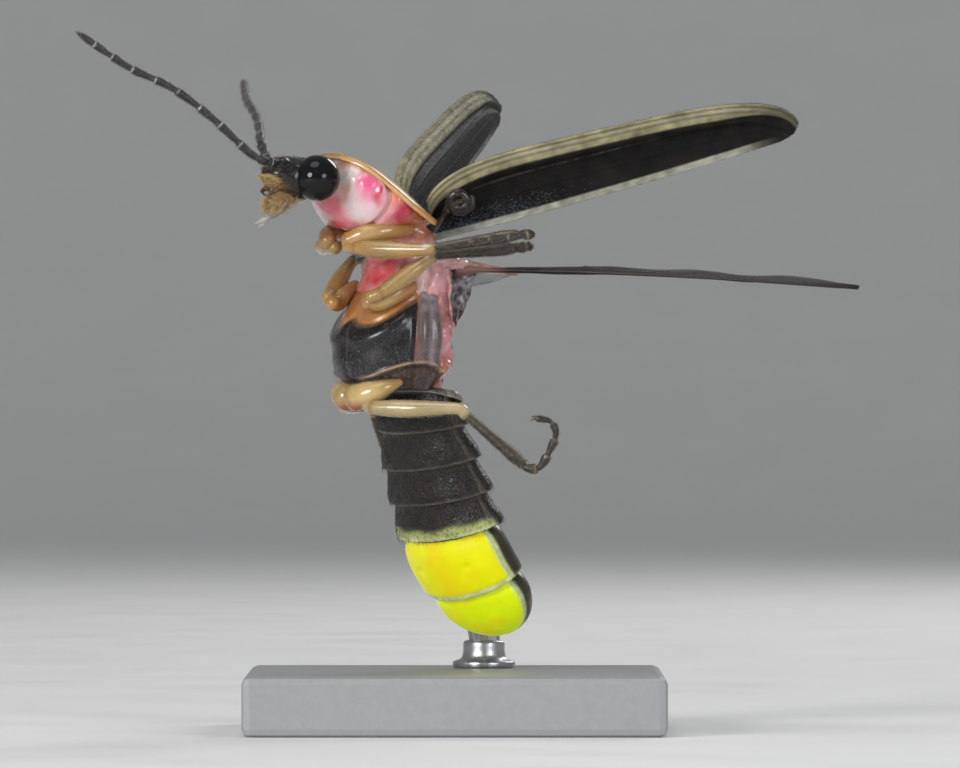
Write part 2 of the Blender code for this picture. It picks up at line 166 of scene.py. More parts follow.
def body_axes(yaw=BODY_YAW, pitch=0.0):
    """Front, left and back of a body piece, pitched towards its underside."""
    turn = radians(yaw)
    bend = radians(pitch)
    flat_back = Vector((cos(turn), sin(turn), 0.0))
    left = Vector((sin(turn), -cos(turn), 0.0))
    up = Vector((0.0, 0.0, 1.0))
    front = up * cos(bend) - flat_back * sin(bend)
    back = flat_back * cos(bend) + up * sin(bend)
    return front, left, back


def body_point(back, left, up):
    """A place given back from, left of and up from the body's own axes."""
    _, left_axis, back_axis = body_axes()
    return back_axis * back + left_axis * left + Vector((0.0, 0.0, up))


def smooth_path(points, steps):
    """A smooth curve through points of any dimension, in equal steps of each stretch."""
    spots = [Vector(point) for point in points]
    spots = [spots[0] * 2 - spots[1]] + spots + [spots[-1] * 2 - spots[-2]]
    path = []
    for a, b, c, d in zip(spots, spots[1:], spots[2:], spots[3:]):
        for step in range(steps):
            t = step / steps
            path.append(0.5 * (2 * b + (c - a) * t + (2 * a - 5 * b + 4 * c - d) * t**2
                               + (3 * b - a - 3 * c + d) * t**3))
    path.append(spots[-2])
    return path


def smooth_rows(rows, steps):
    """Smooth rows of numbers of any count, column by column."""
    columns = [smooth_path([(value, 0.0) for value in column], steps) for column in zip(*rows)]
    return [tuple(spot.x for spot in row) for row in zip(*columns)]


def path_lengths(path):
    """How far along a path each of its points is."""
    lengths = [0.0]
    for before, after in zip(path, path[1:]):
        lengths.append(lengths[-1] + (after - before).length)
    return lengths


def point_at(path, lengths, station):
    """The point of a path at a distance along it."""
    for index in range(1, len(path)):
        if station <= lengths[index]:
            share = (station - lengths[index - 1]) / (lengths[index] - lengths[index - 1])
            return path[index - 1].lerp(path[index], share)
    return path[-1]


def ring(centre, back, left, depth, width, sides, square=2.0):
    """A closed loop of points; depth is (back, underside), width is half.

    square makes the back's side of the loop squarer than an ellipse.
    """
    points = []
    for index in range(sides):
        angle = tau * index / sides
        reach, power = (depth[0], square) if cos(angle) > 0 else (depth[1], 2.0)
        flat = (abs(cos(angle)) ** power + abs(sin(angle)) ** power) ** (-1 / power)
        points.append(centre + back * (reach * cos(angle) * flat)
                      + left * (width * sin(angle) * flat))
    return points


def swollen(rings, share):
    """Rings whose points move from their ring's middle by a share of their distance."""
    moved = []
    for line in rings:
        middle = sum(line, Vector()) / len(line)
        moved.append([point + (point - middle) * share(point) for point in line])
    return moved


def raised(points, centre, relief):
    """A loop's points moved out from its centre by relief of their turn and place.

    turn is 0 at the back and 0.5 at the underside, on both sides.
    """
    count = len(points)
    return [point + (point - centre).normalized()
            * relief(min(index, count - index) / count, point)
            for index, point in enumerate(points)]


def tube_rings(path, radii, sides, flat=1.0, flat_way=None):
    """Rings round a path; flat narrows them along flat_way."""
    tangents = []
    for index in range(len(path)):
        before = path[max(index - 1, 0)]
        after = path[min(index + 1, len(path) - 1)]
        tangents.append((after - before).normalized())
    side = Vector(flat_way) if flat_way else tangents[0].orthogonal().normalized()
    rings = []
    for point, tangent, radius in zip(path, tangents, radii):
        side = (side - tangent * side.dot(tangent)).normalized()
        other = tangent.cross(side)
        rings.append(ring(point, side, other, (radius * flat, radius * flat), radius, sides))
    return rings


def tube_surface(path, radii, sides=16, flat=1.0, flat_way=None):
    """Rings of a tube, rounded off at both ends."""
    rings = tube_rings(path, radii, sides, flat, flat_way)
    for end, outward in ((0, path[0] - path[1]), (-1, path[-1] - path[-2])):
        outward.normalize()
        radius = radii[end]
        middle = path[end]
        caps = []
        for share in (0.5, 0.87, 0.995):
            lift = outward * (radius * share * 0.8)
            size = sqrt(1 - share * share)
            caps.append([middle + (point - middle) * size + lift for point in rings[end]])
        if end == 0:
            rings = caps[::-1] + rings
        else:
            rings = rings + caps
    return rings


def taper(path, start, end):
    """A radius for each point of a path, from the start's to the end's."""
    return [blend(start, end, index / (len(path) - 1)) for index in range(len(path))]


def pieced_path(points, steps, count):
    """A smooth path cut again into equal lengths."""
    path = smooth_path(points, steps)
    lengths = path_lengths(path)
    return [point_at(path, lengths, lengths[-1] * index / count) for index in range(count + 1)]


# Meshes

surfaces = {}
materials = {}


def finish_mesh(name, verts, faces, corner_uvs, tints, material, nodes):
    """Make the object from millimetres, with its colours and its map."""
    mesh = bpy.data.meshes.new(name)
    mesh.from_pydata([(BODY_AT + vert) * MM for vert in verts], [], faces)
    layer = mesh.uv_layers.new(name="OFBake")
    layer.data.foreach_set("uv", [number for corner in corner_uvs for number in corner])
    colours = mesh.color_attributes.new("tint", "FLOAT_COLOR", "POINT")
    colours.data.foreach_set("color", [number for tint in tints for number in tint])
    mesh.materials.append(materials[material])
    mesh.shade_smooth()
    mesh.validate()
    item = bpy.data.objects.new(name, mesh)
    bpy.context.scene.collection.objects.link(item)
    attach(item, "root")
    if nodes:
        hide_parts(*nodes)
    return item


def make_surface(name, rings, paint, material, nodes=()):
    """One closed skin over rings; paint gives red, green, blue and a mask.

    paint is called with how far along the rings and how far round each point is.
    """
    rows = len(rings)
    columns = len(rings[0])
    verts = [point for points in rings for point in points]
    tints = []
    for row in range(rows):
        for column in range(columns):
            tint = paint(row / (rows - 1), column / columns, rings[row][column])
            tints.append(tuple(tint) + ((0.0,) if len(tint) == 3 else ()))
    faces = []
    corner_uvs = []
    for row in range(rows - 1):
        for column in range(columns):
            after = (column + 1) % columns
            faces.append((row * columns + column, row * columns + after,
                          (row + 1) * columns + after, (row + 1) * columns + column))
            for down, right in ((0, 0), (0, 1), (1, 1), (1, 0)):
                corner_uvs.append(((column + right) / columns, (row + down) / (rows - 1)))
    for row in (0, rows - 1):
        middle = sum(rings[row], Vector()) / columns
        centre = len(verts)
        verts.append(middle)
        tints.append(tints[row * columns])
        for column in range(columns):
            after = (column + 1) % columns
            pair = (row * columns + after, row * columns + column)
            if row:
                pair = pair[::-1]
            faces.append((centre, *pair))
            corner_uvs.append((0.5, row / (rows - 1)))
            corner_uvs.append((column / columns, row / (rows - 1)))
            corner_uvs.append((column / columns, row / (rows - 1)))
    surfaces[name] = rings
    item = finish_mesh(name, verts, faces, corner_uvs, tints, material, nodes)
    outward(item)
    return item


def outward(item):
    """Turn the faces of a closed mesh outward."""
    skin = bmesh.new()
    skin.from_mesh(item.data)
    bmesh.ops.recalc_face_normals(skin, faces=skin.faces)
    skin.to_mesh(item.data)
    skin.free()
    item.data.shade_smooth()


def plate_rings(grid, half_depth, normal_of):
    """Rings round a thin plate: over its outer face and back under its inner one."""
    rings = []
    for row, line in enumerate(grid):
        over = []
        under = []
        for column, point in enumerate(line):
            out = normal_of(row, column) * half_depth(row, column)
            over.append(point + out)
            under.append(point - out)
        rings.append(over + under[::-1])
    return rings


def grow_hair(name, sources, count, length, radius, colour, slot, seed,
              lift=0.5, bend=0.5, wanted=None):
    """Short tapered hairs on named surfaces, lying along them and bent at the tip.

    wanted gives the chance of a hair at along, round and point.
    """
    draw = random.Random(seed)
    verts = []
    faces = []
    corner_uvs = []
    tints = []
    share = max(1, count // len(sources))
    for number, source in enumerate(sources):
        rings = surfaces[source]
        rows = len(rings)
        columns = len(rings[0])
        planted = 0
        for _ in range(share * 8):
            if planted >= share:
                break
            down = draw.random() * (rows - 1.001)
            round_ = draw.random() * columns
            row = int(down)
            column = int(round_) % columns
            after = (column + 1) % columns
            a = rings[row][column]
            b = rings[row][after]
            c = rings[row + 1][column]
            root = a + (b - a) * (round_ % 1.0) + (c - a) * (down - row)
            chance = wanted(down / (rows - 1), round_ / columns, root) if wanted else 1.0
            if draw.random() > chance:
                continue
            normal = (b - a).cross(c - a)
            if normal.length < 1e-9:
                continue
            normal.normalize()
            middle = (rings[row][0] + rings[row][columns // 2]) / 2
            if columns > 4 and normal.dot(root - middle) < 0:
                normal = -normal
            lie = (c - a).normalized()
            lie += Vector((draw.gauss(0, 1), draw.gauss(0, 1), draw.gauss(0, 1))) * 0.22
            lie = (lie - normal * lie.dot(normal)).normalized()
            long = length * draw.uniform(0.65, 1.2)
            start = lie * (1 - lift) + normal * lift
            end = lie * (1 - lift * (1 - bend)) + normal * lift * (1 - bend)
            middle = root + start.normalized() * (long * 0.5)
            tip = middle + end.normalized() * (long * 0.5)
            add_hair(verts, faces, root - normal * 0.01, middle, tip, normal, radius)
            planted += 1
            tints += [(*shaded(colour, draw.uniform(0.75, 1.15)), 0.0)] * 7
            place = ((number + round_ / columns) / len(sources), down / (rows - 1))
            for face in faces[-6:]:
                for right, up in ((0, 0), (1, 0), (1, 1), (0, 1))[:len(face)]:
                    corner_uvs.append((place[0] * (1 - HAIR_PATCH) + HAIR_PATCH * right,
                                       place[1] * (1 - HAIR_PATCH) + HAIR_PATCH * up))
    return finish_mesh(name, verts, faces, corner_uvs, tints, "hair", ())


def add_hair(verts, faces, root, middle, tip, normal, radius):
    """One hair of three sides in two lengths, as seven corners and six faces."""
    side = (middle - root).cross(normal).normalized()
    up = (middle - root).cross(side).normalized()
    first = len(verts)
    for centre, size in ((root, radius), (middle, radius * 0.8)):
        for turn in range(3):
            angle = tau * turn / 3
            verts.append(centre + side * (cos(angle) * size) + up * (sin(angle) * size))
    verts.append(tip)
    for turn in range(3):
        after = (turn + 1) % 3
        faces.append((first + turn, first + after, first + 3 + after, first + 3 + turn))
    for turn in range(3):
        after = (turn + 1) % 3
        faces.append((first + 3 + turn, first + 3 + after, first + 6))


# Materials

def add_node(tree, kind, links=None, **values):
    """A node with its inputs set and linked by name."""
    node = tree.nodes.new(kind)
    for key, value in values.items():
        if key in node.inputs:
            node.inputs[key].default_value = value
        else:
            setattr(node, key, value)
    for key, output in (links or {}).items():
        tree.links.new(output, node.inputs[key])
    return node


def add_range(tree, value, to_low, to_high, span=(0.0, 1.0)):
    """A value carried from its own span over to another range."""
    node = add_node(tree, "ShaderNodeMapRange", {"Value": value}, **{
        "From Min": span[0], "From Max": span[1], "To Min": to_low, "To Max": to_high})
    return node.outputs["Result"]


def make_material(name, roughness, grain=4.0, pits=0.0, bump=0.01, tone=0.25, tones=None,
                  stretch=(1.0, 1.0, 1.0), **settings):
    """A shader coloured by the painted tint, with noise in tone, gloss and bump.

    grain and pits are features to the millimetre; bump is their height in
    millimetres; tone is how much the noise lightens and darkens the colour. tones
    are the two colours of a solid that has no painted tint.
    """
    material = bpy.data.materials.new(name)
    material.use_nodes = True
    tree = material.node_tree
    shader = tree.nodes["Principled BSDF"]
    place = add_node(tree, "ShaderNodeTexCoord").outputs["Object"]
    if stretch != (1.0, 1.0, 1.0):
        place = add_node(tree, "ShaderNodeMapping", {"Vector": place},
                         Scale=stretch).outputs["Vector"]
    tint = add_node(tree, "ShaderNodeAttribute", attribute_name="tint")
    fine = add_node(tree, "ShaderNodeTexNoise", {"Vector": place}, Scale=grain / MM, Detail=5.0)
    broad = add_node(tree, "ShaderNodeTexNoise", {"Vector": place}, Scale=1.3 / MM, Detail=3.0)
    shade = add_range(tree, broad.outputs["Fac"], 1.0 - tone, 1.0 + tone, NOISE_RANGE)
    colour = add_node(tree, "ShaderNodeVectorMath", {0: tint.outputs["Color"], "Scale": shade},
                      operation="SCALE")
    tree.links.new(colour.outputs["Vector"], shader.inputs["Base Color"])
    if tones:
        ramp = add_node(tree, "ShaderNodeValToRGB", {"Fac": fine.outputs["Fac"]})
        for stop, position, tone_ in zip(ramp.color_ramp.elements, (0.35, 0.65), tones):
            stop.position = position
            stop.color = (*tone_, 1.0)
        tree.links.new(ramp.outputs["Color"], shader.inputs["Base Color"])
    gloss = add_range(tree, fine.outputs["Fac"], roughness * 0.75, roughness * 1.25, NOISE_RANGE)
    tree.links.new(gloss, shader.inputs["Roughness"])
    relief = add_node(tree, "ShaderNodeBump", {"Height": fine.outputs["Fac"]},
                      Strength=0.6, Distance=bump * MM)
    if pits:
        cells = add_node(tree, "ShaderNodeTexVoronoi", {"Vector": place}, Scale=pits / MM)
        relief = add_node(tree, "ShaderNodeBump", {"Height": cells.outputs["Distance"],
                                                   "Normal": relief.outputs["Normal"]},
                          Strength=0.7, Distance=bump * MM)
    tree.links.new(relief.outputs["Normal"], shader.inputs["Normal"])
    for key, value in settings.items():
        shader.inputs[key.replace("_", " ")].default_value = value
    materials[name] = material
    return material, tree, shader, tint


def make_materials():
    """Every finish of the animal and its stand."""
    soft = {"Subsurface_Weight": 0.3, "Subsurface_Radius": (1.0, 0.45, 0.3),
            "Subsurface_Scale": 0.08 * MM}
    make_material("cuticle", 0.28, grain=9.0, pits=16.0, bump=0.0025, tone=0.20,
                  Coat_Weight=0.55, Coat_Roughness=0.17, Specular_IOR_Level=0.22)
    make_material("eye", 0.06, grain=3.0, pits=26.0, bump=0.0010, tone=0.05, Coat_Weight=0.2,
                  Coat_Roughness=0.03, Specular_IOR_Level=0.15)
    make_material("flesh", 0.28, grain=5.0, bump=0.006, tone=0.08, Coat_Weight=0.5,
                  Coat_Roughness=0.12, **soft)
    make_material("limb", 0.24, grain=8.0, bump=0.004, tone=0.10, Coat_Weight=0.6,
                  Coat_Roughness=0.10, **soft)
    make_material("limb_dark", 0.40, grain=12.0, pits=15.0, bump=0.010)
    make_material("shell", 0.38, grain=10.0, pits=12.0, bump=0.008, Specular_IOR_Level=0.25)
    make_material("belly", 0.30, grain=13.0, pits=20.0, bump=0.018, Specular_IOR_Level=0.38)
    make_material("case", 0.55, grain=12.0, pits=14.0, bump=0.007, Specular_IOR_Level=0.10)
    make_material("hair", 0.38, grain=2.0, bump=0.001, tone=0.10, Specular_IOR_Level=0.25)
    make_material("steel", 0.34, grain=9.0, bump=0.0004, tone=0.06, Metallic=1.0,
                  tones=((0.40, 0.40, 0.41), (0.52, 0.52, 0.53)), stretch=(1.0, 1.0, 0.08))
    make_material("plinth", 0.42, grain=6.0, bump=0.004,
                  tones=((0.31, 0.315, 0.32), (0.33, 0.335, 0.34)))
    make_membrane()
    make_lantern()


def make_membrane():
    """Smoky see-through wing skin; the mask is how solid a vein makes it."""
    _, tree, shader, tint = make_material("membrane", 0.36, grain=6.0, bump=0.004,
                                          Specular_IOR_Level=0.35)
    solid = add_range(tree, tint.outputs["Alpha"], MEMBRANE_SOLID, 1.0)
    tree.links.new(solid, shader.inputs["Alpha"])


def make_lantern():
    """Waxy skin that glows in its own colour where the mask says."""
    _, tree, shader, tint = make_material("lantern", 0.36, grain=5.0, bump=0.008, tone=0.08,
                                          Coat_Weight=0.1, Specular_IOR_Level=0.3)
    glow = add_range(tree, tint.outputs["Alpha"], 0.0, LANTERN_GLOW)
    tree.links.new(tint.outputs["Color"], shader.inputs["Emission Color"])
    tree.links.new(glow, shader.inputs["Emission Strength"])


# The animal

def across_of(round_, columns):
    """How far across a plate a point of its ring is, and whether it is on the outer face."""
    index = round(round_ * 2 * columns)
    column = index if index < columns else 2 * columns - 1 - index
    return column / (columns - 1), index < columns


def ball_rings(centre, pole, radius, rows, columns):
    """Rings of a ball from one pole to the other."""
    side = pole.orthogonal().normalized()
    other = pole.cross(side)
    rings = []
    for row in range(rows):
        angle = pi * (row + 0.2) / (rows - 0.6)
        place = centre + pole * (cos(angle) * radius)
        size = radius * sin(angle)
        rings.append(ring(place, side, other, (size, size), size, columns))
    return rings


def make_head():
    """The black head with its eyes, jaws and palps."""
    front, left, back = body_axes(pitch=HEAD_PITCH)
    middle = body_point(HEAD_AT[0], 0.0, HEAD_AT[1])
    profile = ((-0.60, 0.20, 0.20, 0.24), (-0.42, 0.35, 0.30, 0.40), (-0.25, 0.48, 0.48, 0.64),
               (0.05, 0.53, 0.58, 0.72), (0.45, 0.49, 0.64, 0.68), (0.72, 0.45, 0.46, 0.56),
               (0.90, 0.38, 0.24, 0.44), (1.03, 0.27, 0.08, 0.30), (1.09, 0.15, 0.02, 0.16))
    rings = []
    columns = 80
    for ahead, top, under, width in smooth_rows(profile, 8):
        centre = middle + front * ahead
        points = ring(centre, back, left, (top, under), width, columns)
        rings.append(raised(points, centre,
                            lambda turn, point: head_relief(turn, ahead, point)))

    def paint(along, round_, point):
        turn = min(round_, 1 - round_)
        mouth = ease(0.30, 0.42, turn) * ease(0.52, 0.66, along)
        return mix(BLACK, (0.17, 0.085, 0.035), mouth * (0.7 + 0.3 * wobble(point, 0.15)))

    make_surface("head_shell", rings, paint, "cuticle", ("head",))
    for side in (1, -1):
        centre = middle + left * (side * EYE_APART / 2)
        rings = ball_rings(centre, left * side, EYE_RADIUS, 48, 80)
        make_surface("eye_ball_" + side_name(side), rings,
                     lambda *_: (0.006, 0.006, 0.007), "eye",
                     ("eye_" + side_name(side),))
        make_mouth_side(side, middle, (front, left, back))
    make_palp("left", ((-2.80, -2.50, 3.42), (-2.97, -2.74, 3.14), (-3.20, -2.90, 3.02),
                       (-3.54, -3.06, 2.86)))
    make_palp("right", ((-3.00, -2.16, 3.44), (-3.14, -2.06, 3.16), (-3.30, -1.98, 2.98),
                        (-3.48, -1.90, 2.78)))


def head_relief(turn, ahead, point):
    """The feelers' sockets, the brows, a groove between them and the edge of the lip."""
    socket = hump(0.10, 0.05, turn) * hump(0.84, 0.13, ahead)
    groove = hump(0.0, 0.02, turn) * ease(0.3, 0.8, ahead)
    brow = hump(0.17, 0.04, turn) * hump(0.30, 0.25, ahead)
    lip = hump(0.5, 0.12, turn) * hump(0.60, 0.05, ahead)
    return (0.09 * socket - 0.07 * groove + 0.05 * brow - 0.06 * lip
            + 0.018 * wobble(point, 0.2) + 0.006 * wobble(point, 0.06))


def side_name(side):
    """The name of a side: 1 is the left one."""
    return "left" if side > 0 else "right"


def make_mouth_side(side, middle, axes):
    """One side of the mouth: a curved jaw, a lobe under it and a short inner palp."""
    front, left, back = axes
    name = side_name(side)
    start = middle + front * 0.80 - back * 0.30 + left * (side * 0.24)
    path = smooth_path((start, start + front * 0.16 + left * (side * 0.05) - back * 0.12,
                        start + front * 0.22 - left * (side * 0.16) - back * 0.24), 8)
    radii = taper(path, 0.08, 0.016)
    make_surface("jaw_" + name, tube_surface(path, radii, 12),
                 lambda along, *_: mix((0.20, 0.09, 0.03), BLACK, along),
                 "cuticle")
    start = middle + front * 0.42 - back * 0.46 + left * (side * 0.20)
    path = pieced_path((start, start + front * 0.22 - back * 0.16,
                        start + front * 0.36 - back * 0.30 + left * (side * 0.02)), 8, 24)
    radii = [(0.17 - 0.06 * index / 24) * (0.9 + 0.16 * sin(index / 24 * tau * 1.5))
             for index in range(25)]
    rings = swollen(tube_surface(path, radii, 24),
                    lambda point: 0.25 * wobble(point, 0.10, 4.0))
    make_surface("mouth_lobe_" + name, rings,
                 lambda along, round_, point: mottled((0.34, 0.20, 0.08), (0.20, 0.07, 0.06),
                                                      point, 0.5, 0.6, 0.12, 8.0),
                 "limb_dark")
    start = middle + front * 0.60 - back * 0.66 + left * (side * 0.10)
    path = pieced_path((start, start + front * 0.10 - back * 0.12,
                        start + front * 0.14 - back * 0.26), 8, 18)
    radii = [0.055 * (0.8 + 0.3 * sin(index / 18 * tau * 1.5)) * (1 - 0.6 * (index / 18) ** 4)
             for index in range(19)]
    make_surface("inner_palp_" + name, tube_surface(path, radii, 12),
                 lambda along, *_: mix((0.30, 0.18, 0.09), (0.42, 0.36, 0.28), along),
                 "limb_dark")


def make_palp(name, points):
    """A feeler of the mouth: three short pieces and a pointed leaf-shaped one."""
    count = 60
    path = pieced_path(points, 10, count)
    radii = []
    for index in range(count + 1):
        share = index / count
        if share < 0.62:
            piece = share / 0.62 * 3 % 1.0
            radii.append(0.072 + 0.026 * sin(pi * min(1.0, 1.15 * piece)))
        else:
            leaf = (share - 0.62) / 0.38
            radii.append(0.055 + 0.072 * sin(pi * leaf**0.8) - 0.042 * leaf**3)
    rings = tube_surface(path, radii, 20, flat=0.62, flat_way=(0.6, 0.2, -1.0))

    def paint(along, round_, point):
        leaf = ease(0.60, 0.66, along)
        pale = mix((0.26, 0.18, 0.11), (0.40, 0.38, 0.35), leaf)
        return mix(pale, (0.12, 0.08, 0.06), 0.5 * hump(0.62, 0.02, along))

    make_surface("palp_skin_" + name, rings, paint, "limb_dark",
                 ("palp_" + name,))


def make_antenna(side, points):
    """Eleven joints: a long foot, a short knee and nine that widen to a pale edge."""
    count = 231
    path = pieced_path(points, 12, count)

    def joint_at(share):
        for number, end in enumerate(ANTENNA_ENDS):
            if share <= end:
                start = ANTENNA_ENDS[number - 1] if number else 0.0
                return number, (share - start) / (end - start)
        return len(ANTENNA_ENDS) - 1, 1.0

    radii = []
    for index in range(count + 1):
        number, piece = joint_at(index / count)
        shape = 0.68 + 0.36 * min(1.0, piece / 0.85) ** 0.9 - 0.22 * ease(0.92, 1.0, piece)
        if number == len(ANTENNA_ENDS) - 1:
            shape = 0.70 + 0.25 * sin(pi * min(1.0, 0.15 + 0.7 * piece)) - 0.45 * piece**4
        radii.append(blend(0.118, 0.094, index / count) * shape)
    rings = tube_surface(path, radii, 16, flat=0.8, flat_way=(0.3, 1.0, 0.2))

    def paint(along, round_, point):
        number, piece = joint_at(min(1.0, along * 1.01))
        last = number == len(ANTENNA_ENDS) - 1
        pale = 0.0 if last else ease(0.93, 0.985, piece) * (0.55 + 0.45 * wobble(point, 0.07))
        return mix((0.012, 0.0105, 0.010), (0.62, 0.60, 0.56), min(1.0, 1.2 * pale))

    make_surface("antenna_skin_" + side, rings, paint, "limb_dark",
                 ("antenna_" + side,))


def shield_point(share, wide, half):
    """A place on the shield's middle surface, and its upward direction."""
    front, left, back = body_axes(pitch=COLLAR_PITCH)
    start = body_point(COLLAR_AT[0], 0.0, COLLAR_AT[1])
    offset = half * wide
    wide = offset / SHIELD_HALF_WIDTH
    height = SHIELD_CROWN * 4 * share * (1 - share) * (1 - wide**2) - SHIELD_DROOP * wide**2
    height += 0.10 * hump(0.0, 0.34, wide) * hump(0.45, 0.4, share)
    corner = 0.18 * abs(wide) ** 3 * (1 - share)
    ahead = SHIELD_LENGTH * share - corner
    return start + front * ahead + left * offset + back * (height + 0.02)


def make_shield():
    """The thin shield over the head: rosy disc, black spot and cream rim."""
    _, _, back = body_axes(pitch=COLLAR_PITCH)
    rows = 44
    columns = 65
    grid = []
    for row in range(rows):
        share = sin(row / (rows - 1) * tau / 4)
        half = SHIELD_HALF_WIDTH * sqrt(max(0.0, 1 - (0.97 * share) ** 2.1))
        grid.append([shield_point(share, blend(-1, 1, column / (columns - 1)), half)
                     for column in range(columns)])

    def half_depth(row, column):
        rim = max(abs(2 * column / (columns - 1) - 1), sin(row / (rows - 1) * tau / 4))
        return 0.045 + 0.035 * hump(0.97, 0.03, rim) - 0.012 * hump(0.90, 0.04, rim)

    rings = plate_rings(grid, half_depth, lambda row, column: back)

    def paint(along, round_, point):
        across, upper = across_of(round_, columns)
        share = sin(along * tau / 4)
        wide = abs(2 * across - 1) * sqrt(max(0.0, 1 - (0.97 * share) ** 2.1))
        reach = sqrt((wide / 1.0) ** 2 + (max(0.0, share - 0.1) / 0.95) ** 2)
        rim = ease(0.60, 0.86, reach)
        if upper:
            colour = mix((0.72, 0.22, 0.20), (0.62, 0.50, 0.22), rim)
            spot = hump(0.0, 0.24, wide) * hump(0.50, 0.36, share) * 1.8
            colour = mix(colour, (0.018, 0.012, 0.010), spot)
            return mix(colour, (0.40, 0.16, 0.05), ease(0.93, 1.0, reach))
        colour = mix((0.66, 0.30, 0.16), (0.62, 0.27, 0.08), rim)
        return mix(colour, (0.66, 0.46, 0.22), 0.8 * hump(0.97, 0.03, reach))

    make_surface("shield_plate", rings, paint, "limb", ("pronotum",))


def flesh_frames():
    """Up, back, pitch, depths, width and squareness of each ring, waist to neck."""
    rows = [(0.02, 1.10, 0, 0.95, 0.95, 1.34, 2.2), (0.02, 1.33, 0, 0.95, 0.92, 1.36, 2.2),
            (0.06, 1.75, 8, 0.90, 0.80, 1.32, 2.2), (0.04, 2.12, 20, 0.72, 0.72, 1.24, 2.2),
            (-0.06, 2.42, 38, 0.62, 0.64, 1.22, 2.3)]
    front, _, back = body_axes(pitch=COLLAR_PITCH)
    start = body_point(COLLAR_AT[0], 0.0, COLLAR_AT[1]) - back * 0.42
    _, _, flat_back = body_axes()
    for ahead, top, under, width, square in (
            (-0.12, 0.16, 0.86, 1.30, 2.6), (0.25, 0.18, 0.86, 1.38, 2.4),
            (0.80, 0.30, 0.86, 1.48, 2.5), (1.25, 0.35, 0.80, 1.43, 2.6),
            (1.60, 0.38, 0.66, 1.28, 2.8), (1.85, 0.40, 0.54, 1.12, 3.0),
            (2.04, 0.42, 0.42, 0.97, 3.2), (2.20, 0.40, 0.30, 0.76, 3.0)):
        spot = start + front * ahead
        rows.append((spot.dot(flat_back), spot.z, COLLAR_PITCH, top, under, width, square))
    return smooth_rows(rows, 9)


def make_flesh():
    """One skin over the soft underside, from the neck to the middle legs."""
    rings = []
    columns = 176
    for behind, up, pitch, top, under, width, square in flesh_frames():
        _, left, back = body_axes(pitch=pitch)
        centre = body_point(behind, 0.0, up)
        points = ring(centre, back, left, (top, under), width, columns, square)
        rings.append(raised(points, centre, lambda turn, point: flesh_relief(point)))
    make_surface("flesh_skin", rings, lambda along, round_, point: flesh_colour(point),
                 "flesh", ("prothorax", "mesothorax"))


# Where the flesh changes, in the photograph's columns and lines. The shoulder's
# crease bows round its middle; painted shade under the shield's edge starts at its front corner.
CREASE_MIDDLE = (390.5, 198)
CREASE_REACH = 21
CREASE_BOW = 12.0
CREASE_END = (228, 220)
PAST_CREASE_END = (236, 226)
UPPER_END = (238, 226)
THROAT_START = (192, 202)
MARGIN_CORNER = (344, 157)
# Where the painted shade under the shield's edge starts, deepens, ends and how far down it reaches
RIM_SHADE_START = (336, 350)
RIM_SHADE_DEEPENS = (402, 432)
RIM_SHADE_END = (446, 438)
RIM_SHADE_DEPTH = (12, 6)
ROUGH_PLACE = (432, 275, 22, 24)

# Folds and bulges of the flesh: height, then column and line in the photograph,
# half width, half height and turn
FLESH_FOLDS = (
    (-0.05, 356, 190, 3, 18, 25), (0.05, 379, 194, 5, 13, 8), (-0.05, 374, 193, 2, 12, 8),
    (-0.14, 372, 231, 70, 4, -4), (0.08, 380, 266, 10, 12, 20), (0.10, 422, 266, 8, 10),
    (0.12, 438, 276, 8, 14), (-0.10, 406, 270, 3, 22), (-0.08, 430, 272, 2, 16, 12))

# Soft dabs of colour on the flesh, before the crease, past it and below: colour
# and strength, then the place as above
SHOULDER_DABS = (
    (WHITE, 1.8, 344, 170, 18, 24, 35), (WHITE, 1.3, 354, 196, 14, 20),
    (WHITE, 1.1, 362, 216, 20, 8), ((0.82, 0.58, 0.66), 0.9, 371, 209, 12, 8),
    (PINK, 1.3, 371, 184, 11, 15, 12), (ROSE, 1.1, 380, 195, 4.5, 11, 10),
    ((0.60, 0.20, 0.08), 0.7, 346, 194, 4, 9, 25), (ROSE, 1.5, 329, 212, 10, 15, 42),
    (ROSE, 0.8, 343, 224, 10, 5, 25))
PAST_CREASE_DABS = (
    ((0.66, 0.22, 0.10), 1.0, 398, 196, 12, 12, 40), (ROSE, 1.6, 404, 217, 12, 13, 40),
    ((0.60, 0.24, 0.08), 1.0, 420, 220, 9, 14, 40))
LOWER_DABS = (
    ((0.50, 0.17, 0.06), 1.2, 380, 234, 60, 6, -4), ((0.36, 0.12, 0.05), 1.2, 424, 236, 14, 9),
    ((0.72, 0.07, 0.08), 1.3, 380, 268, 15, 17), ((0.86, 0.30, 0.32), 0.8, 382, 262, 6, 10, 10),
    (WHITE, 1.1, 365, 284, 4.5, 12, -8), ((0.78, 0.52, 0.54), 1.1, 424, 268, 11, 14),
    (WHITE, 0.9, 418, 290, 7, 12), ((0.72, 0.34, 0.36), 0.9, 440, 280, 8, 22),
    ((0.55, 0.20, 0.06), 1.0, 388, 306, 30, 9, -20), ((0.30, 0.13, 0.08), 0.8, 404, 272, 3, 20))


def photo_spot(point):
    """Where a point of either side falls in the photograph, in its pixels."""
    point = mirrored(point, 1 if point.dot(body_axes()[1]) >= 0 else -1)
    return (PHOTO_BODY[0] + point.x * PHOTO_PIXELS_PER_MM,
            PHOTO_BODY[1] - point.z * PHOTO_PIXELS_PER_MM)


def patch(spot, column, line, wide, tall, turn=0.0):
    """How much a spot belongs to a soft patch at that place in the photograph."""
    x = spot[0] - column
    y = spot[1] - line
    turn = radians(turn)
    a = (x * cos(turn) + y * sin(turn)) / wide
    b = (y * cos(turn) - x * sin(turn)) / tall
    return exp(-(a * a + b * b))


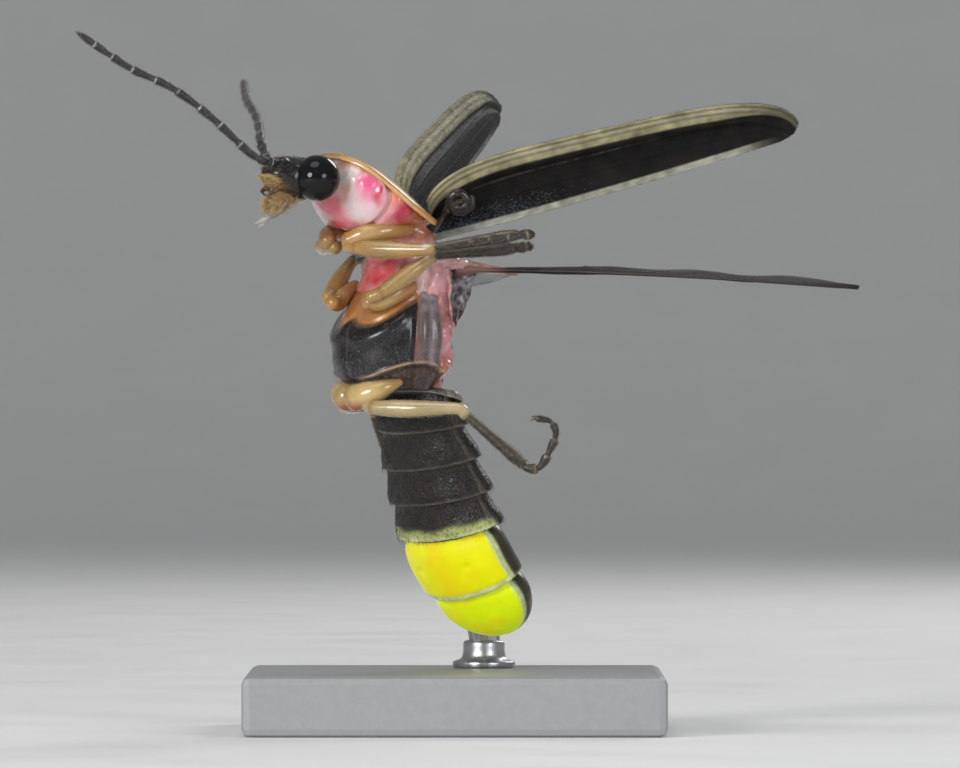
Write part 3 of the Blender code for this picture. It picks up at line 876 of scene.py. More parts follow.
def dabbed(colour, spot, dabs, share=1.0):
    """A colour with soft dabs of others over it."""
    for tint, strength, *place in dabs:
        colour = mix(colour, tint, min(1.0, strength * patch(spot, *place)) * share)
    return colour


def past_crease(x, y):
    """How far right of the shoulder's crease a place is, in pixels of the photograph."""
    middle = CREASE_MIDDLE[0] - CREASE_BOW * ((y - CREASE_MIDDLE[1]) / CREASE_REACH) ** 2
    return x - middle


def below_margin(x, y):
    """How far under the shield's edge a place is, in pixels of the photograph."""
    along = x - MARGIN_CORNER[0]
    return y - (MARGIN_CORNER[1] + 0.25 * along + 0.0060 * along ** 2)


def flesh_relief(point):
    """Bulges and folds of the soft skin, in millimetres."""
    spot = photo_spot(point)
    x, y = spot
    upper = ease(*UPPER_END, y)
    gap = past_crease(x, y)
    relief = 0.03 * wobble(point, 0.6, 3.0)
    relief += (0.004 + 0.014 * (1 - upper)) * wobble(point, 0.17, 7.0)
    relief += upper * (0.10 * ease(0, -9, gap) + 0.04 * hump(-5, 3, gap))
    relief += upper * 0.11 * ease(0, 7, gap) * ease(40, 24, gap)
    relief -= upper * 0.03 * hump(0, 2.0, gap)
    relief += sum(height * patch(spot, *place) for height, *place in FLESH_FOLDS)
    relief += 0.03 * wobble(point, 0.10, 5.0) * patch(spot, *ROUGH_PLACE)
    return relief


def flesh_colour(point):
    """White, pink and rose above, orange and red between the legs, brown behind; a painted
    highlight along the shoulder's crease and painted shade under the shield's edge.
    """
    x, y = photo_spot(point)
    spot = (x + 5 * wobble(point, 0.3, 1.0), y + 5 * wobble(point, 0.3, 2.0))
    gap = past_crease(x, y)
    colour = mottled((0.76, 0.30, 0.34), (0.80, 0.46, 0.44), point, 0.5, 0.5, 0.5)
    colour = dabbed(colour, spot, SHOULDER_DABS, ease(3, -3, gap))
    # A pale pink line on the lip just before the shoulder's crease: painted highlight
    colour = mix(colour, (0.90, 0.52, 0.52), 0.75 * hump(-1.5, 2.5, gap) * ease(*CREASE_END, y))
    # An orange-brown band just under the shield's edge, darker to the right: painted shade
    rim_shade = mix((0.50, 0.19, 0.06), (0.20, 0.12, 0.045), ease(*RIM_SHADE_DEEPENS, x))
    colour = mix(colour, rim_shade, 0.85 * ease(*RIM_SHADE_DEPTH, below_margin(x, y))
                 * ease(*RIM_SHADE_START, x) * ease(*RIM_SHADE_END, x))
    _, left_way, back_way = body_axes()
    across = abs(point.dot(left_way))
    throat = ease(0.75, 0.25, across) * ease(*THROAT_START, y)
    colour = mix(colour, (0.64, 0.09, 0.13), 0.8 * throat * (0.8 + 0.5 * wobble(point, 0.4, 6.0)))
    colour = dabbed(colour, spot, PAST_CREASE_DABS, ease(-3, 3, gap) * ease(*PAST_CREASE_END, y))
    colour = dabbed(colour, spot, LOWER_DABS)
    rear = (ease(0.40, 0.72, point.dot(back_way)) * ease(1.25, 0.95, across)
            * ease(2.9, 2.6, point.z))
    brown = mottled((0.22, 0.12, 0.07), (0.085, 0.055, 0.04), point, 0.5, 0.9, 0.3, 1.0)
    brown = mix(brown, (0.34, 0.13, 0.06), hump(0.0, 0.4, across) * hump(2.3, 0.35, point.z))
    colour = mix(colour, brown, rear)
    rough = 0.25 + 0.75 * (1 - ease(*UPPER_END, y))
    return mix(colour, shaded(colour, 0.72), rough * (0.4 + 0.8 * wobble(point, 0.2, 5.0)))


def make_chest():
    """The hind thorax: black polished breastplate, grey flank and soft brown side."""
    profile = ((1.38, 0.80, 0.80, 1.20), (1.16, 0.98, 0.98, 1.35), (0.80, 1.08, 1.28, 1.46),
               (0.40, 1.14, 1.50, 1.54), (0.0, 1.15, 1.62, 1.56), (-0.50, 1.10, 1.66, 1.50),
               (-0.85, 1.00, 1.58, 1.42), (-1.02, 0.92, 1.42, 1.30), (-1.22, 0.80, 1.10, 1.15))
    rings = []
    columns = 144
    _, left, back = body_axes()
    for up, top, under, width in smooth_rows(profile, 10):
        centre = body_point(0.0, 0.0, up)
        points = ring(centre, back, left, (top, under), width, columns)
        rings.append(raised(points, centre,
                            lambda turn, point: chest_relief(360 * turn, up, point)))
    make_surface("chest_shell", rings, lambda along, round_, point: chest_colour(
        degrees_round(round_), point.z, point), "cuticle", ("metathorax",))


def plate_edge(turn):
    """Height of the breastplate's upper edge at a turn round the body."""
    return blend(1.02, 0.36, ease(106, 158, turn)) + 0.16 * ease(164, 180, turn)


def chest_relief(turn, up, point):
    """The plates' edges, seams and folds at a turn and height, in millimetres."""
    edge = plate_edge(turn)
    relief = 0.005 * wobble(point, 0.3, 2.0) + 0.0015 * wobble(point, 0.08, 1.0)
    plate = ease(111, 114, turn) * ease(-0.02, 0.10, edge - up) * ease(-1.02, -0.90, up)
    relief += 0.07 * plate - 0.05 * hump(edge + 0.05, 0.04, up) * ease(111, 114, turn)
    relief += 0.09 * hump(edge - 0.32, 0.24, up) * ease(114, 128, turn)
    relief -= 0.07 * hump(180, 2.2, turn) * ease(0.9, 0.5, up)
    relief -= 0.08 * hump(111, 1.6, turn)
    relief += 0.05 * hump(103, 5.0, turn) * hump(0.1, 0.9, up)
    relief -= 0.04 * hump(96, 1.5, turn)
    relief += 0.05 * hump(89, 4.5, turn) * hump(0.0, 0.8, up) - 0.07 * hump(81, 2.0, turn)
    fold = ease(82, 76, turn) * ease(30, 44, turn)
    relief += fold * (0.08 * wobble(point, 0.26, 9.0) + 0.04 * wobble(point, 0.11, 2.0))
    relief += fold * 0.06 * sin(up * 7 + turn * 0.10)
    relief -= 0.05 * hump(41, 2.5, turn)
    line = coxa_line(turn)
    relief += 0.06 * hump(line, 0.045, up) * ease(176, 160, turn) * ease(60, 76, turn)
    relief -= 0.10 * ease(line - 0.04, line - 0.14, up) * ease(60, 100, turn)
    return relief


def coxa_line(turn):
    """Height of the pale line over the hind leg's root, at a turn round the body."""
    return blend(-0.98, -0.56, ease(168, 106, turn)) - 0.22 * ease(100, 74, turn)


def chest_colour(turn, up, point):
    """Black and amber below, then the grey flank, the soft side and the brown back."""
    edge = plate_edge(turn)
    black = mottled((0.006, 0.006, 0.008), (0.013, 0.010, 0.009), point, 0.5, 0.8, 0.4)
    amber = mottled((0.44, 0.20, 0.06), (0.28, 0.095, 0.04), point, 0.4, 0.8, 0.35, 6.0)
    breast = mix(black, (0.30, 0.20, 0.12), 0.5 * hump(edge - 0.02, 0.04, up))
    breast = mix(breast, amber, ease(edge - 0.01, edge + 0.05, up))
    flank = mix((0.17, 0.125, 0.125), (0.52, 0.43, 0.44), ease(0.35, 1.15, up))
    flank = mix(flank, (0.09, 0.06, 0.06), 0.6 + 0.7 * wobble(point, 0.20, 3.0))
    flank = mix(flank, (0.28, 0.10, 0.07), 0.8 * hump(111, 2.5, turn))
    flank = mix(flank, (0.46, 0.38, 0.38), 0.6 * hump(96, 2.0, turn))
    soft = mottled((0.42, 0.15, 0.07), (0.66, 0.26, 0.30), point, 0.5, 1.1, 0.45, 4.0)
    soft = mix(soft, (0.60, 0.40, 0.40), 0.8 * max(0.0, wobble(point, 0.16, 8.0)))
    rear = mottled((0.055, 0.038, 0.028), (0.11, 0.07, 0.05), point, 0.5, 0.8, 0.3, 1.0)
    colour = mix(rear, soft, ease(38, 46, turn))
    colour = mix(colour, flank, ease(79, 83, turn))
    colour = mix(colour, breast, ease(110.5, 112.5, turn))
    line = coxa_line(turn)
    near = ease(64, 80, turn)
    colour = mix(colour, (0.060, 0.032, 0.018), near * ease(line - 0.02, line - 0.08, up))
    return mix(colour, (0.46, 0.32, 0.20), 0.85 * near * hump(line, 0.035, up)
               * ease(178, 165, turn))


def tail_path():
    """The tail's middle line, and how far along it each point is."""
    _, _, away = body_axes(yaw=TAIL_YAW)
    path = smooth_path([away * back + Vector((0.0, 0.0, up)) for back, up in TAIL_LINE], 8)
    return path, path_lengths(path)


def tail_points(path, lengths, station, depth, width, sides):
    """A ring across the tail, which turns a little more to the side below."""
    here = point_at(path, lengths, max(station, 0.0))
    ahead = point_at(path, lengths, min(station + 0.2, lengths[-1]))
    behind = point_at(path, lengths, max(station - 0.2, 0.0))
    along = (behind - ahead).normalized()
    here = here - along * min(station, 0.0)
    turn = blend(BODY_YAW, TAIL_TWIST, min(1.0, max(0.0, station) / 2.0))
    _, _, flat_back = body_axes(yaw=turn)
    back = (flat_back - along * flat_back.dot(along)).normalized()
    left = back.cross(along)
    return here, ring(here, back, left, (depth, depth), width, sides)


def mirrored(point, side):
    """A place on the left side, or its mirror on the right."""
    left_way = body_axes()[1]
    return point - left_way * (2 * point.dot(left_way)) if side < 0 else point


def make_wing_roots():
    """The creased soft skin between the body and the foot of each flying wing."""
    arm = ((0.72, -0.82, 2.02), (1.15, -0.60, 1.96), (1.65, -0.42, 1.86), (2.30, -0.50, 1.76),
           (2.90, -0.60, 1.66))
    inner = ((0.86, -0.80, 2.02), (0.98, -0.72, 1.45), (1.10, -0.66, 0.90), (1.20, -0.60, 0.30))
    outer = ((1.95, -0.38, 1.84), (1.86, -0.24, 1.42), (1.70, -0.24, 0.96), (1.42, -0.44, 0.34))
    count = 64
    rows = 60
    columns = 40

    def paint_arm(along, round_, point):
        warm = mottled((0.36, 0.15, 0.10), (0.60, 0.36, 0.36), point, 0.5, 1.2, 0.25, 5.0)
        start = mix((0.74, 0.50, 0.52), warm, ease(0.05, 0.3, along))
        return mix(start, (0.26, 0.19, 0.18), 0.6 * ease(0.6, 1.0, along))

    def paint_fold(along, round_, point):
        across, _ = across_of(round_, columns)
        grey = mottled((0.055, 0.045, 0.045), (0.30, 0.27, 0.30), point, 0.4, 1.3, 0.13, 2.0)
        return mix((0.62, 0.36, 0.34), grey, ease(0.15, 0.5, across + 0.3 * wobble(point, 0.3)))

    for side in (1, -1):
        path = pieced_path([mirrored(Vector(point), side) for point in arm], 12, count)
        sizes = [blend(0.33, 0.10, (index / count) ** 0.9) for index in range(count + 1)]
        rings = swollen(tube_surface(path, sizes, 48, flat=0.7, flat_way=(0.2, 0.1, 1.0)),
                        lambda point: 0.30 * wobble(point, 0.24, 3.0)
                        - 0.28 * abs(wobble(point, 0.12, 7.0)))
        make_surface("wing_root_" + side_name(side), rings, paint_arm, "flesh")
        edges = [pieced_path([Vector(point) for point in edge], 12, rows - 1)
                 for edge in (inner, outer)]
        out = (edges[1][0] - edges[0][0]).cross(edges[0][-1] - edges[0][0]).normalized()
        grid = []
        for row in range(rows):
            line = []
            for column in range(columns):
                across = column / (columns - 1)
                spot = edges[0][row].lerp(edges[1][row], across)
                lift = 0.09 * sin(across * 15 + 2.0 * wobble(spot, 0.5, 4.0))
                lift += 0.12 * wobble(spot, 0.28, 6.0) + 0.06 * abs(wobble(spot, 0.12, 1.0))
                line.append(mirrored(spot + out * (lift * ease(0.0, 0.15, across)), side))
            grid.append(line)
        own_out = mirrored(out, side)
        make_surface("wing_fold_" + side_name(side),
                     plate_rings(grid, lambda row, column: 0.025, lambda row, column: own_out),
                     paint_fold, "flesh")


def make_belly():
    """The dark hind body: overlapping rings, each flared over the next one's foot."""
    path, lengths = tail_path()
    columns = TAIL_COLUMNS
    steps = 26
    rings = []
    shares = []
    for segment in range(-1, SEGMENTS):
        grow = max(0, segment) / (SEGMENTS - 1)
        depth = blend(0.80, 0.88, grow)
        width = blend(1.38, 1.53, grow)
        for step in range(steps):
            share = step / steps
            if segment < 0 and share < 0.55:
                continue
            station = (segment + share) * SEGMENT_LENGTH
            inside = ease(-0.05, -0.42, station)
            here, points = tail_points(path, lengths, station, depth * (1 - 0.5 * inside),
                                       width * (1 - 0.12 * inside), columns)
            for index, point in enumerate(points):
                turn = 360 * min(index, columns - index) / columns
                rise = ease(0.0, 0.97, share) * blend(1.0, 1.5, hump(80, 22, turn))
                rise *= blend(0.3, 1.0, ease(30, 70, turn)) if segment < 0 else 1.0
                size = 0.905 + 0.125 * rise + 0.014 * wobble(point, 0.25, segment)
                size -= 0.035 * hump(101, 3, turn) + 0.008 * hump(0.86, 0.03, share)
                size += 0.010 * sin(index / columns * tau * 13) * ease(0.75, 0.95, share)
                points[index] = here + (point - here) * size
                if segment < 0:
                    points[index].z -= 0.30 * ease(0.5, 1.0, share) * ease(150, 50, turn)
            rings.append(points)
            shares.append((segment, share))
    for past, depth, width in ((0.0, 0.77, 1.34), (0.2, 0.72, 1.28)):
        _, points = tail_points(path, lengths, SEGMENTS * SEGMENT_LENGTH + past, depth, width,
                                columns)
        rings.append(points)
        shares.append((SEGMENTS, 0.0))
    count = len(rings) - 1

    def paint(along, round_, point):
        segment, share = shares[round(along * count)]
        turn = degrees_round(round_)
        colour = mottled((0.006, 0.005, 0.0045), (0.020, 0.014, 0.011), point, 0.5, 0.9, 0.28, 2.0)
        colour = mix(colour, (0.10, 0.075, 0.055), 0.7 * hump(101, 4, turn))
        if segment == -1:
            colour = mix(colour, (0.26, 0.24, 0.22), 0.8 * ease(0.6, 1.0, share)
                         * hump(80, 35, turn))
        if segment == SEGMENTS - 1:
            start = 0.62 + 0.03 * sin(round_ * tau * 9) - 0.05 * hump(140, 25, turn)
            pale = mix((0.42, 0.46, 0.16), (0.60, 0.64, 0.36), ease(0.85, 1.0, share))
            return mix(colour, pale, ease(start, start + 0.24, share) * ease(88, 104, turn))
        edge = ease(0.90, 0.97, share) * (0.55 if segment >= 0 else 0.8)
        return mix(colour, (0.30, 0.24, 0.18), edge * blend(0.35, 1.0, ease(50, 80, turn)))

    make_surface("belly_shell", rings, paint, "belly", ("abdomen",))


def make_lanterns():
    """Two glowing rings: lit below, with a pale flange, and a dark back above."""
    path, lengths = tail_path()
    first = SEGMENTS * SEGMENT_LENGTH + GAP
    second = first + LANTERN_LENGTH + GAP
    profiles = (("lantern_1", first, ((-0.22, 0.76, 1.34), (0.0, 0.82, 1.46), (0.4, 0.86, 1.52),
                                      (0.9, 0.86, 1.50), (1.16, 0.86, 1.50), (1.25, 0.86, 1.48),
                                      (1.30, 0.80, 1.38), (1.32, 0.70, 1.24))),
                ("lantern_2", second, ((-0.25, 0.68, 1.22), (0.0, 0.75, 1.35), (0.4, 0.77, 1.36),
                                       (0.80, 0.70, 1.20), (1.12, 0.56, 0.94),
                                       (1.34, 0.36, 0.60), (1.43, 0.20, 0.36),
                                       (1.47, 0.08, 0.14))))
    columns = TAIL_COLUMNS
    for number, (name, start, profile) in enumerate(profiles):
        rings = []
        stations = []
        for along, depth, width in smooth_rows(profile, 9):
            here, points = tail_points(path, lengths, start + along, depth, width, columns)
            for index, point in enumerate(points):
                turn = 360 * min(index, columns - index) / columns
                pit = hump(150, 5, turn) * hump(0.45, 0.07, along) * (1 - number)
                pad = ease(108, 116, turn) * ease(-0.1, 0.1, along) * ease(1.16, 1.02, along)
                size = 1 + 0.008 * wobble(point, 0.35, 6.0) + 0.004 * wobble(point, 0.10, 2.0)
                size += 0.025 * pad - 0.05 * pit - 0.035 * hump(104, 2.0, turn)
                size += (0.012 * sin(index / columns * tau * 11) * ease(1.1, 1.25, along)
                         * (1 - number))
                points[index] = here + (point - here) * size
            rings.append(points)
            stations.append(along)
        count = len(rings) - 1

        def paint(along, round_, point, number=number, stations=stations, count=count):
            turn = degrees_round(round_)
            station = stations[round(along * count)]
            lit = ease(107, 114, turn) * (ease(1.22, 1.06, station) if number == 0 else 1.0)
            colour = mix(YELLOW, LIME, 0.15 + 0.6 * number + 0.25 * ease(0.3, 1.0, along))
            colour = mix(colour, (0.66, 0.44, 0.0), 0.6 * max(0.0, wobble(point, 0.5, 3.0)))
            colour = mix(colour, (0.66, 0.46, 0.0), 0.5 * ease(160, 178, turn) * (1 - number))
            flange = mottled((0.40, 0.50, 0.14), (0.66, 0.70, 0.46), point, 0.5, 0.8, 0.12)
            dark = mottled((0.030, 0.024, 0.016), (0.055, 0.045, 0.025), point, 0.5, 0.8, 0.3)
            rim = mix(dark, (0.16, 0.20, 0.05), ease(1.14, 1.25, station))
            below = mix(flange, colour, lit)
            glow = lit + 0.25 * (1 - lit)
            share = ease(98, 104, turn)
            return mix(rim, below, share) + (0.8 * glow * share,)

        make_surface(name + "_skin", rings, paint, "lantern", (name,))


def elytron_frame(side):
    """A wing case's root, and its ways along, across and outward."""
    front, left, back = body_axes()
    span = back * 0.777 + left * (0.589 * side) + front * ELYTRON_RAISED[side]
    span.normalize()
    chord = back * 0.45 - front * 0.80
    chord = (chord - span * chord.dot(span)).normalized()
    return body_point(0.50, 0.58 * side, 3.10), span, chord, span.cross(chord) * side


def make_elytron(side):
    """A thin wing case with a rolled pale rim and faint ribs."""
    root, span, chord, lift = elytron_frame(side)
    rows = 150
    columns = 71
    grid = []
    for row in range(rows):
        share = row / (rows - 1)
        along = ELYTRON_LENGTH * (1 - (1 - share) ** 1.25)
        reach = ELYTRON_PEAK * 1.03 if along < ELYTRON_PEAK else ELYTRON_LENGTH - ELYTRON_PEAK
        away = abs(along - ELYTRON_PEAK) / reach
        lead = blend(0.22, ELYTRON_LEAD, sqrt(max(0.0, 1 - away**4)))
        if along < ELYTRON_PEAK:
            lead = ELYTRON_LEAD * sqrt(max(0.004, 1 - away**4))
        trail = blend(ELYTRON_TRAIL, 0.12, (along / ELYTRON_LENGTH) ** 1.5)
        end = max(0.0, along / ELYTRON_LENGTH * 16 - 15)
        trail -= 0.32 * (1 - sqrt(max(0.0, 1 - end * end)))
        line = []
        for column in range(columns):
            across = 0.5 - 0.5 * cos(pi * column / (columns - 1)) * (
                0.35 + 0.65 * abs(cos(pi * column / (columns - 1))) ** 0.4)
            across = blend(column / (columns - 1), across, 0.5)
            offset = blend(-lead, trail, across)
            camber = ELYTRON_CAMBER * 4 * across * (1 - across) * sqrt(max(0.0, 1 - away**4))
            gutter = -0.05 * hump(0.52, 0.10, offset + lead) * ease(0.3, 1.2, along)
            line.append(root + span * along + chord * offset + lift * (camber + gutter))
        grid.append(line)

    def edges(row, column):
        """How far a place is from the outer edge, the tip and the inner edge."""
        line = grid[row]
        return ((line[column] - line[0]).length, (line[column] - grid[-1][column]).length,
                (line[column] - line[-1]).length)

    def across_at(row, column):
        """How far across the wing case a place is, as a share."""
        line = grid[row]
        return (line[column] - line[0]).length / max(0.01, (line[-1] - line[0]).length)

    def half_depth(row, column):
        lead, tip, trail = edges(row, column)
        fade = ease(0.2, 1.6, tip)
        depth = 0.034 + 0.040 * hump(0.05, 0.05, min(lead, tip))
        depth += 0.026 * fade * (hump(0.20, 0.08, lead) + 0.8 * hump(0.38, 0.06, lead))
        depth += 0.034 * hump(0.04, 0.05, trail) * fade
        for rib in (0.42, 0.66):
            depth += 0.018 * hump(rib, 0.014, across_at(row, column)) * fade
        return depth + 0.005 * wobble(grid[row][column], 0.12) * ease(0.02, 0.2, lead)

    rings = plate_rings(grid, half_depth, lambda row, column: lift)

    def paint(along, round_, point):
        across, outer = across_of(round_, columns)
        row = round(along * (rows - 1))
        column = round(across * (columns - 1))
        lead, tip, trail = edges(row, column)
        fade = ease(0.25, 2.2, tip)
        dark = (0.009, 0.0085, 0.008) if outer else (0.0035, 0.0040, 0.0045)
        colour = mix(dark, (0.014, 0.011, 0.009), 0.5 + 0.8 * wobble(point, 0.4, 1.0))
        band = 0.46 * (0.65 + 0.35 * fade)
        tone = mottled((0.40, 0.37, 0.22), (0.24, 0.215, 0.125), point, 0.5, 0.9, 0.2, 2.0)
        tone = mix(tone, (0.055, 0.050, 0.038), 0.75 * (1 - fade))
        tone = mix(tone, (0.10, 0.09, 0.055), 0.4 * hump(0.29, 0.025, lead) * fade)
        tone = mix(tone, (0.52, 0.49, 0.34), 0.5 * hump(0.19, 0.05, lead) * fade)
        colour = mix(colour, tone, ease(band + 0.03, band - 0.03, lead))
        colour = mix(colour, (0.10, 0.098, 0.085), 0.8 * hump(0.04, 0.05, tip))
        inner = mottled((0.40, 0.40, 0.34), (0.24, 0.23, 0.18), point, 0.5, 0.9, 0.18, 3.0)
        colour = mix(colour, inner, ease(0.19, 0.14, trail) * ease(0.5, 2.0, tip))
        # A pale dashed line along the raised rib near the root: painted sheen
        rib = (hump(0.42, 0.010, across_at(row, column)) * ease(0.62, 0.45, along)
               * ease(0.01, 0.05, along))
        return mix(colour, (0.20, 0.20, 0.17), 0.4 * rib * (0.4 + 0.9 * wobble(point, 0.10)))

    make_surface("elytron_plate_" + side_name(side), rings, paint, "case",
                 ("elytron_" + side_name(side),))
    make_hinge(side, root, (span, chord, lift))


def specked(dark, light, size, seed=0.0):
    """A painter of a dark colour with a lighter one where the noise is high."""
    return lambda along, round_, point: mix(dark, light, max(0.0, wobble(point, size, seed)))


def make_hinge(side, root, axes):
    """The dark curled knob and arm that tie a wing case to the body."""
    span, chord, lift = axes
    name = side_name(side)
    middle = root + span * 0.80 - chord * 0.30 - lift * 0.30
    path = []
    for step in range(41):
        angle = tau * 1.35 * step / 40
        size = 0.30 * (1 - 0.50 * step / 40)
        path.append(middle + span * (size * cos(angle)) + chord * (size * sin(angle))
                    - lift * (0.10 * step / 40))
    radii = [0.115 + 0.025 * wobble(point, 0.15, side) for point in path]
    make_surface("hinge_knob_" + name, tube_surface(path, radii, 18),
                 specked((0.014, 0.012, 0.011), (0.10, 0.07, 0.05), 0.12), "cuticle")
    path = pieced_path((middle + span * 0.15, middle - span * 0.30 + chord * 0.12,
                        root + span * 0.10 + chord * 0.20 - lift * 0.24,
                        root - span * 0.34 + chord * 0.34 - lift * 0.20), 8, 30)
    radii = [0.10 + 0.035 * sin(index / 30 * tau * 1.5) + 0.02 * wobble(point, 0.2, side)
             for index, point in enumerate(path)]
    make_surface("hinge_arm_" + name, tube_surface(path, radii, 18),
                 specked((0.018, 0.015, 0.013), (0.16, 0.10, 0.07), 0.16, 3.0), "cuticle")


def make_hindwing(side):
    """A thin smoky wing, pleated between raised veins."""
    front, left, back = body_axes()
    span = (back * 0.60 + left * (0.80 * side) - front * 0.045).normalized()
    chord = back * 0.80 - left * (0.60 * side) + front * 0.03
    chord = (chord - span * chord.dot(span)).normalized()
    lift = chord.cross(span) * side
    root = body_point(1.06, 0.98 * side, 1.76)
    rows = 110
    columns = 85
    grid = []
    for row in range(rows):
        along = row / (rows - 1)
        lead = (0.35 + 0.35 * sin(along * tau / 4)) * sqrt(max(0.01, 1 - along**7))
        spread = 0.25 + (HINDWING_CHORD - 1.0) * sin(min(1.0, along / 0.42) * tau / 4) ** 1.4
        trail = spread * sqrt(max(0.006, 1 - max(0.0, (along - 0.30) / 0.70) ** 2.6))
        line = []
        for column in range(columns):
            across = column / (columns - 1)
            offset = blend(-lead, trail, across)
            pleat = 0.035 * sin(across * tau * 4.5 + 1.2 * along) * ease(0.0, 0.2, along)
            sag = 0.10 * wobble(Vector((along * 9, across * 3, side)), 1.4, 3.0)
            line.append(root + span * (along * HINDWING_LENGTH) + chord * offset
                        + front * (0.12 * sin(pi * along))
                        + lift * (pleat * min(1.0, spread) + sag * ease(0.05, 0.3, along)
                                  * ease(0.0, 0.3, across)))
        grid.append(line)

    def vein(along, across):
        """How much of a vein there is here, from nothing to 1."""
        most = 1.0 * hump(0.0, 0.012, across)
        for place, ends, size in ((0.07, 0.62, 0.8), (3 / 14, 0.80, 1.0), (6 / 14, 0.94, 0.9),
                                  (9 / 14, 0.66, 0.8), (12 / 14, 0.44, 0.7), (0.52, 0.55, 0.5),
                                  (0.75, 0.50, 0.5)):
            bowed = place + 0.03 * sin(along * pi)
            most = max(most, size * hump(bowed, 0.009, across) * ease(ends, ends - 0.08, along))
        for place, low, high in ((0.57, 3 / 14, 6 / 14), (0.39, 6 / 14, 9 / 14),
                                 (0.26, 9 / 14, 12 / 14), (0.70, 0.02, 3 / 14)):
            if low < across < high:
                most = max(most, 0.6 * hump(place + 0.1 * (across - low), 0.004, along))
        return most

    def half_depth(row, column):
        along = row / (rows - 1)
        across = column / (columns - 1)
        return 0.012 + 0.045 * vein(along, across) * (1.2 - along) + 0.12 * ease(0.07, 0.0, along)

    rings = plate_rings(grid, half_depth, lambda row, column: lift)

    def paint(along, round_, point):
        across, _ = across_of(round_, columns)
        line = vein(along, across)
        base = ease(0.16, 0.02, along)
        colour = mix((0.035, 0.031, 0.030), (0.020, 0.015, 0.012), line)
        colour = mix(colour, (0.34, 0.19, 0.16), base)
        solid = min(1.0, line + 0.9 * base + 0.2 * ease(0.05, 0.0, across))
        return colour + (solid,)

    make_surface("hindwing_skin_" + side_name(side), rings, paint, "membrane",
                 ("hindwing_" + side_name(side),))


# Each leg from its root: thigh, shin and foot
LEGS = {
    "fore_left": (((-1.28, -1.46, 2.33), (-0.98, -1.74, 2.28), (-0.40, -2.00, 2.23),
                   (0.60, -2.38, 2.22)),
                  ((0.94, -2.40, 2.27), (2.72, -2.44, 2.56)),
                  ((3.04, -2.47, 2.60), (3.28, -2.78, 2.60), (3.04, -3.04, 2.56),
                   (2.40, -3.10, 2.50), (1.80, -3.10, 2.42))),
    "mid_left": (((-0.70, -1.72, 1.05), (-0.35, -1.74, 1.22), (0.60, -1.62, 1.90)),
                 ((0.95, -1.60, 2.11), (2.66, -1.60, 2.25)),
                 ((2.98, -1.58, 2.28), (3.22, -1.28, 2.32), (3.04, -0.88, 2.34),
                  (2.70, -0.25, 2.32))),
    "hind_left": (((-0.85, -1.20, -1.52), (-0.62, -1.52, -1.68), (0.40, -1.84, -1.72),
                   (1.42, -2.10, -1.72)),
                  ((1.76, -2.16, -1.95), (2.94, -2.33, -2.97)),
                  ((3.17, -2.36, -3.18), (3.48, -2.37, -3.16), (3.72, -2.37, -2.76),
                   (3.88, -2.37, -2.36), (3.76, -2.37, -2.04), (3.40, -2.37, -1.95))),
    "fore_right": (((-1.60, -0.80, 2.30), (-1.84, -0.40, 2.34), (-1.92, 0.30, 2.34),
                    (-1.92, 1.20, 2.36)),
                   ((-1.86, 1.52, 2.38), (-1.50, 3.30, 2.58)),
                   ((-1.44, 3.58, 2.60), (-1.30, 4.20, 2.60), (-1.24, 4.74, 2.42))),
    "mid_right": (((-1.80, -0.22, 1.05), (-1.70, 0.15, 1.22), (-1.30, 1.03, 1.84)),
                  ((-1.17, 1.34, 2.03), (-0.70, 2.95, 2.14)),
                  ((-0.63, 3.24, 2.17), (-0.60, 3.80, 2.24), (-0.62, 4.30, 2.18))),
    "hind_right": (((-1.38, -0.48, -1.52), (-1.38, 0.06, -1.64), (-1.12, 1.00, -1.62),
                    (-0.76, 1.92, -1.62)),
                   ((-0.64, 2.26, -1.94), (-0.15, 2.85, -3.30)),
                   ((-0.08, 2.95, -3.54), (0.04, 3.16, -4.06), (0.16, 3.54, -4.46))),
}


def make_limb(name, points, radii, paint, material, nodes, count=60, sides=20):
    """A limb piece along a smooth path, its radii spread evenly over it."""
    path = pieced_path(points, 12, count)
    spread = smooth_rows([(radius,) for radius in radii], count // (len(radii) - 1))
    sizes = []
    for index in range(count + 1):
        place = index / count * (len(spread) - 1)
        low = int(min(place, len(spread) - 2))
        sizes.append(blend(spread[low][0], spread[low + 1][0], place - low))
    rings = swollen(tube_surface(path, sizes, sides),
                    lambda point: 0.03 * wobble(point, 0.3, 2.0))
    return make_surface(name, rings, paint, material, nodes)


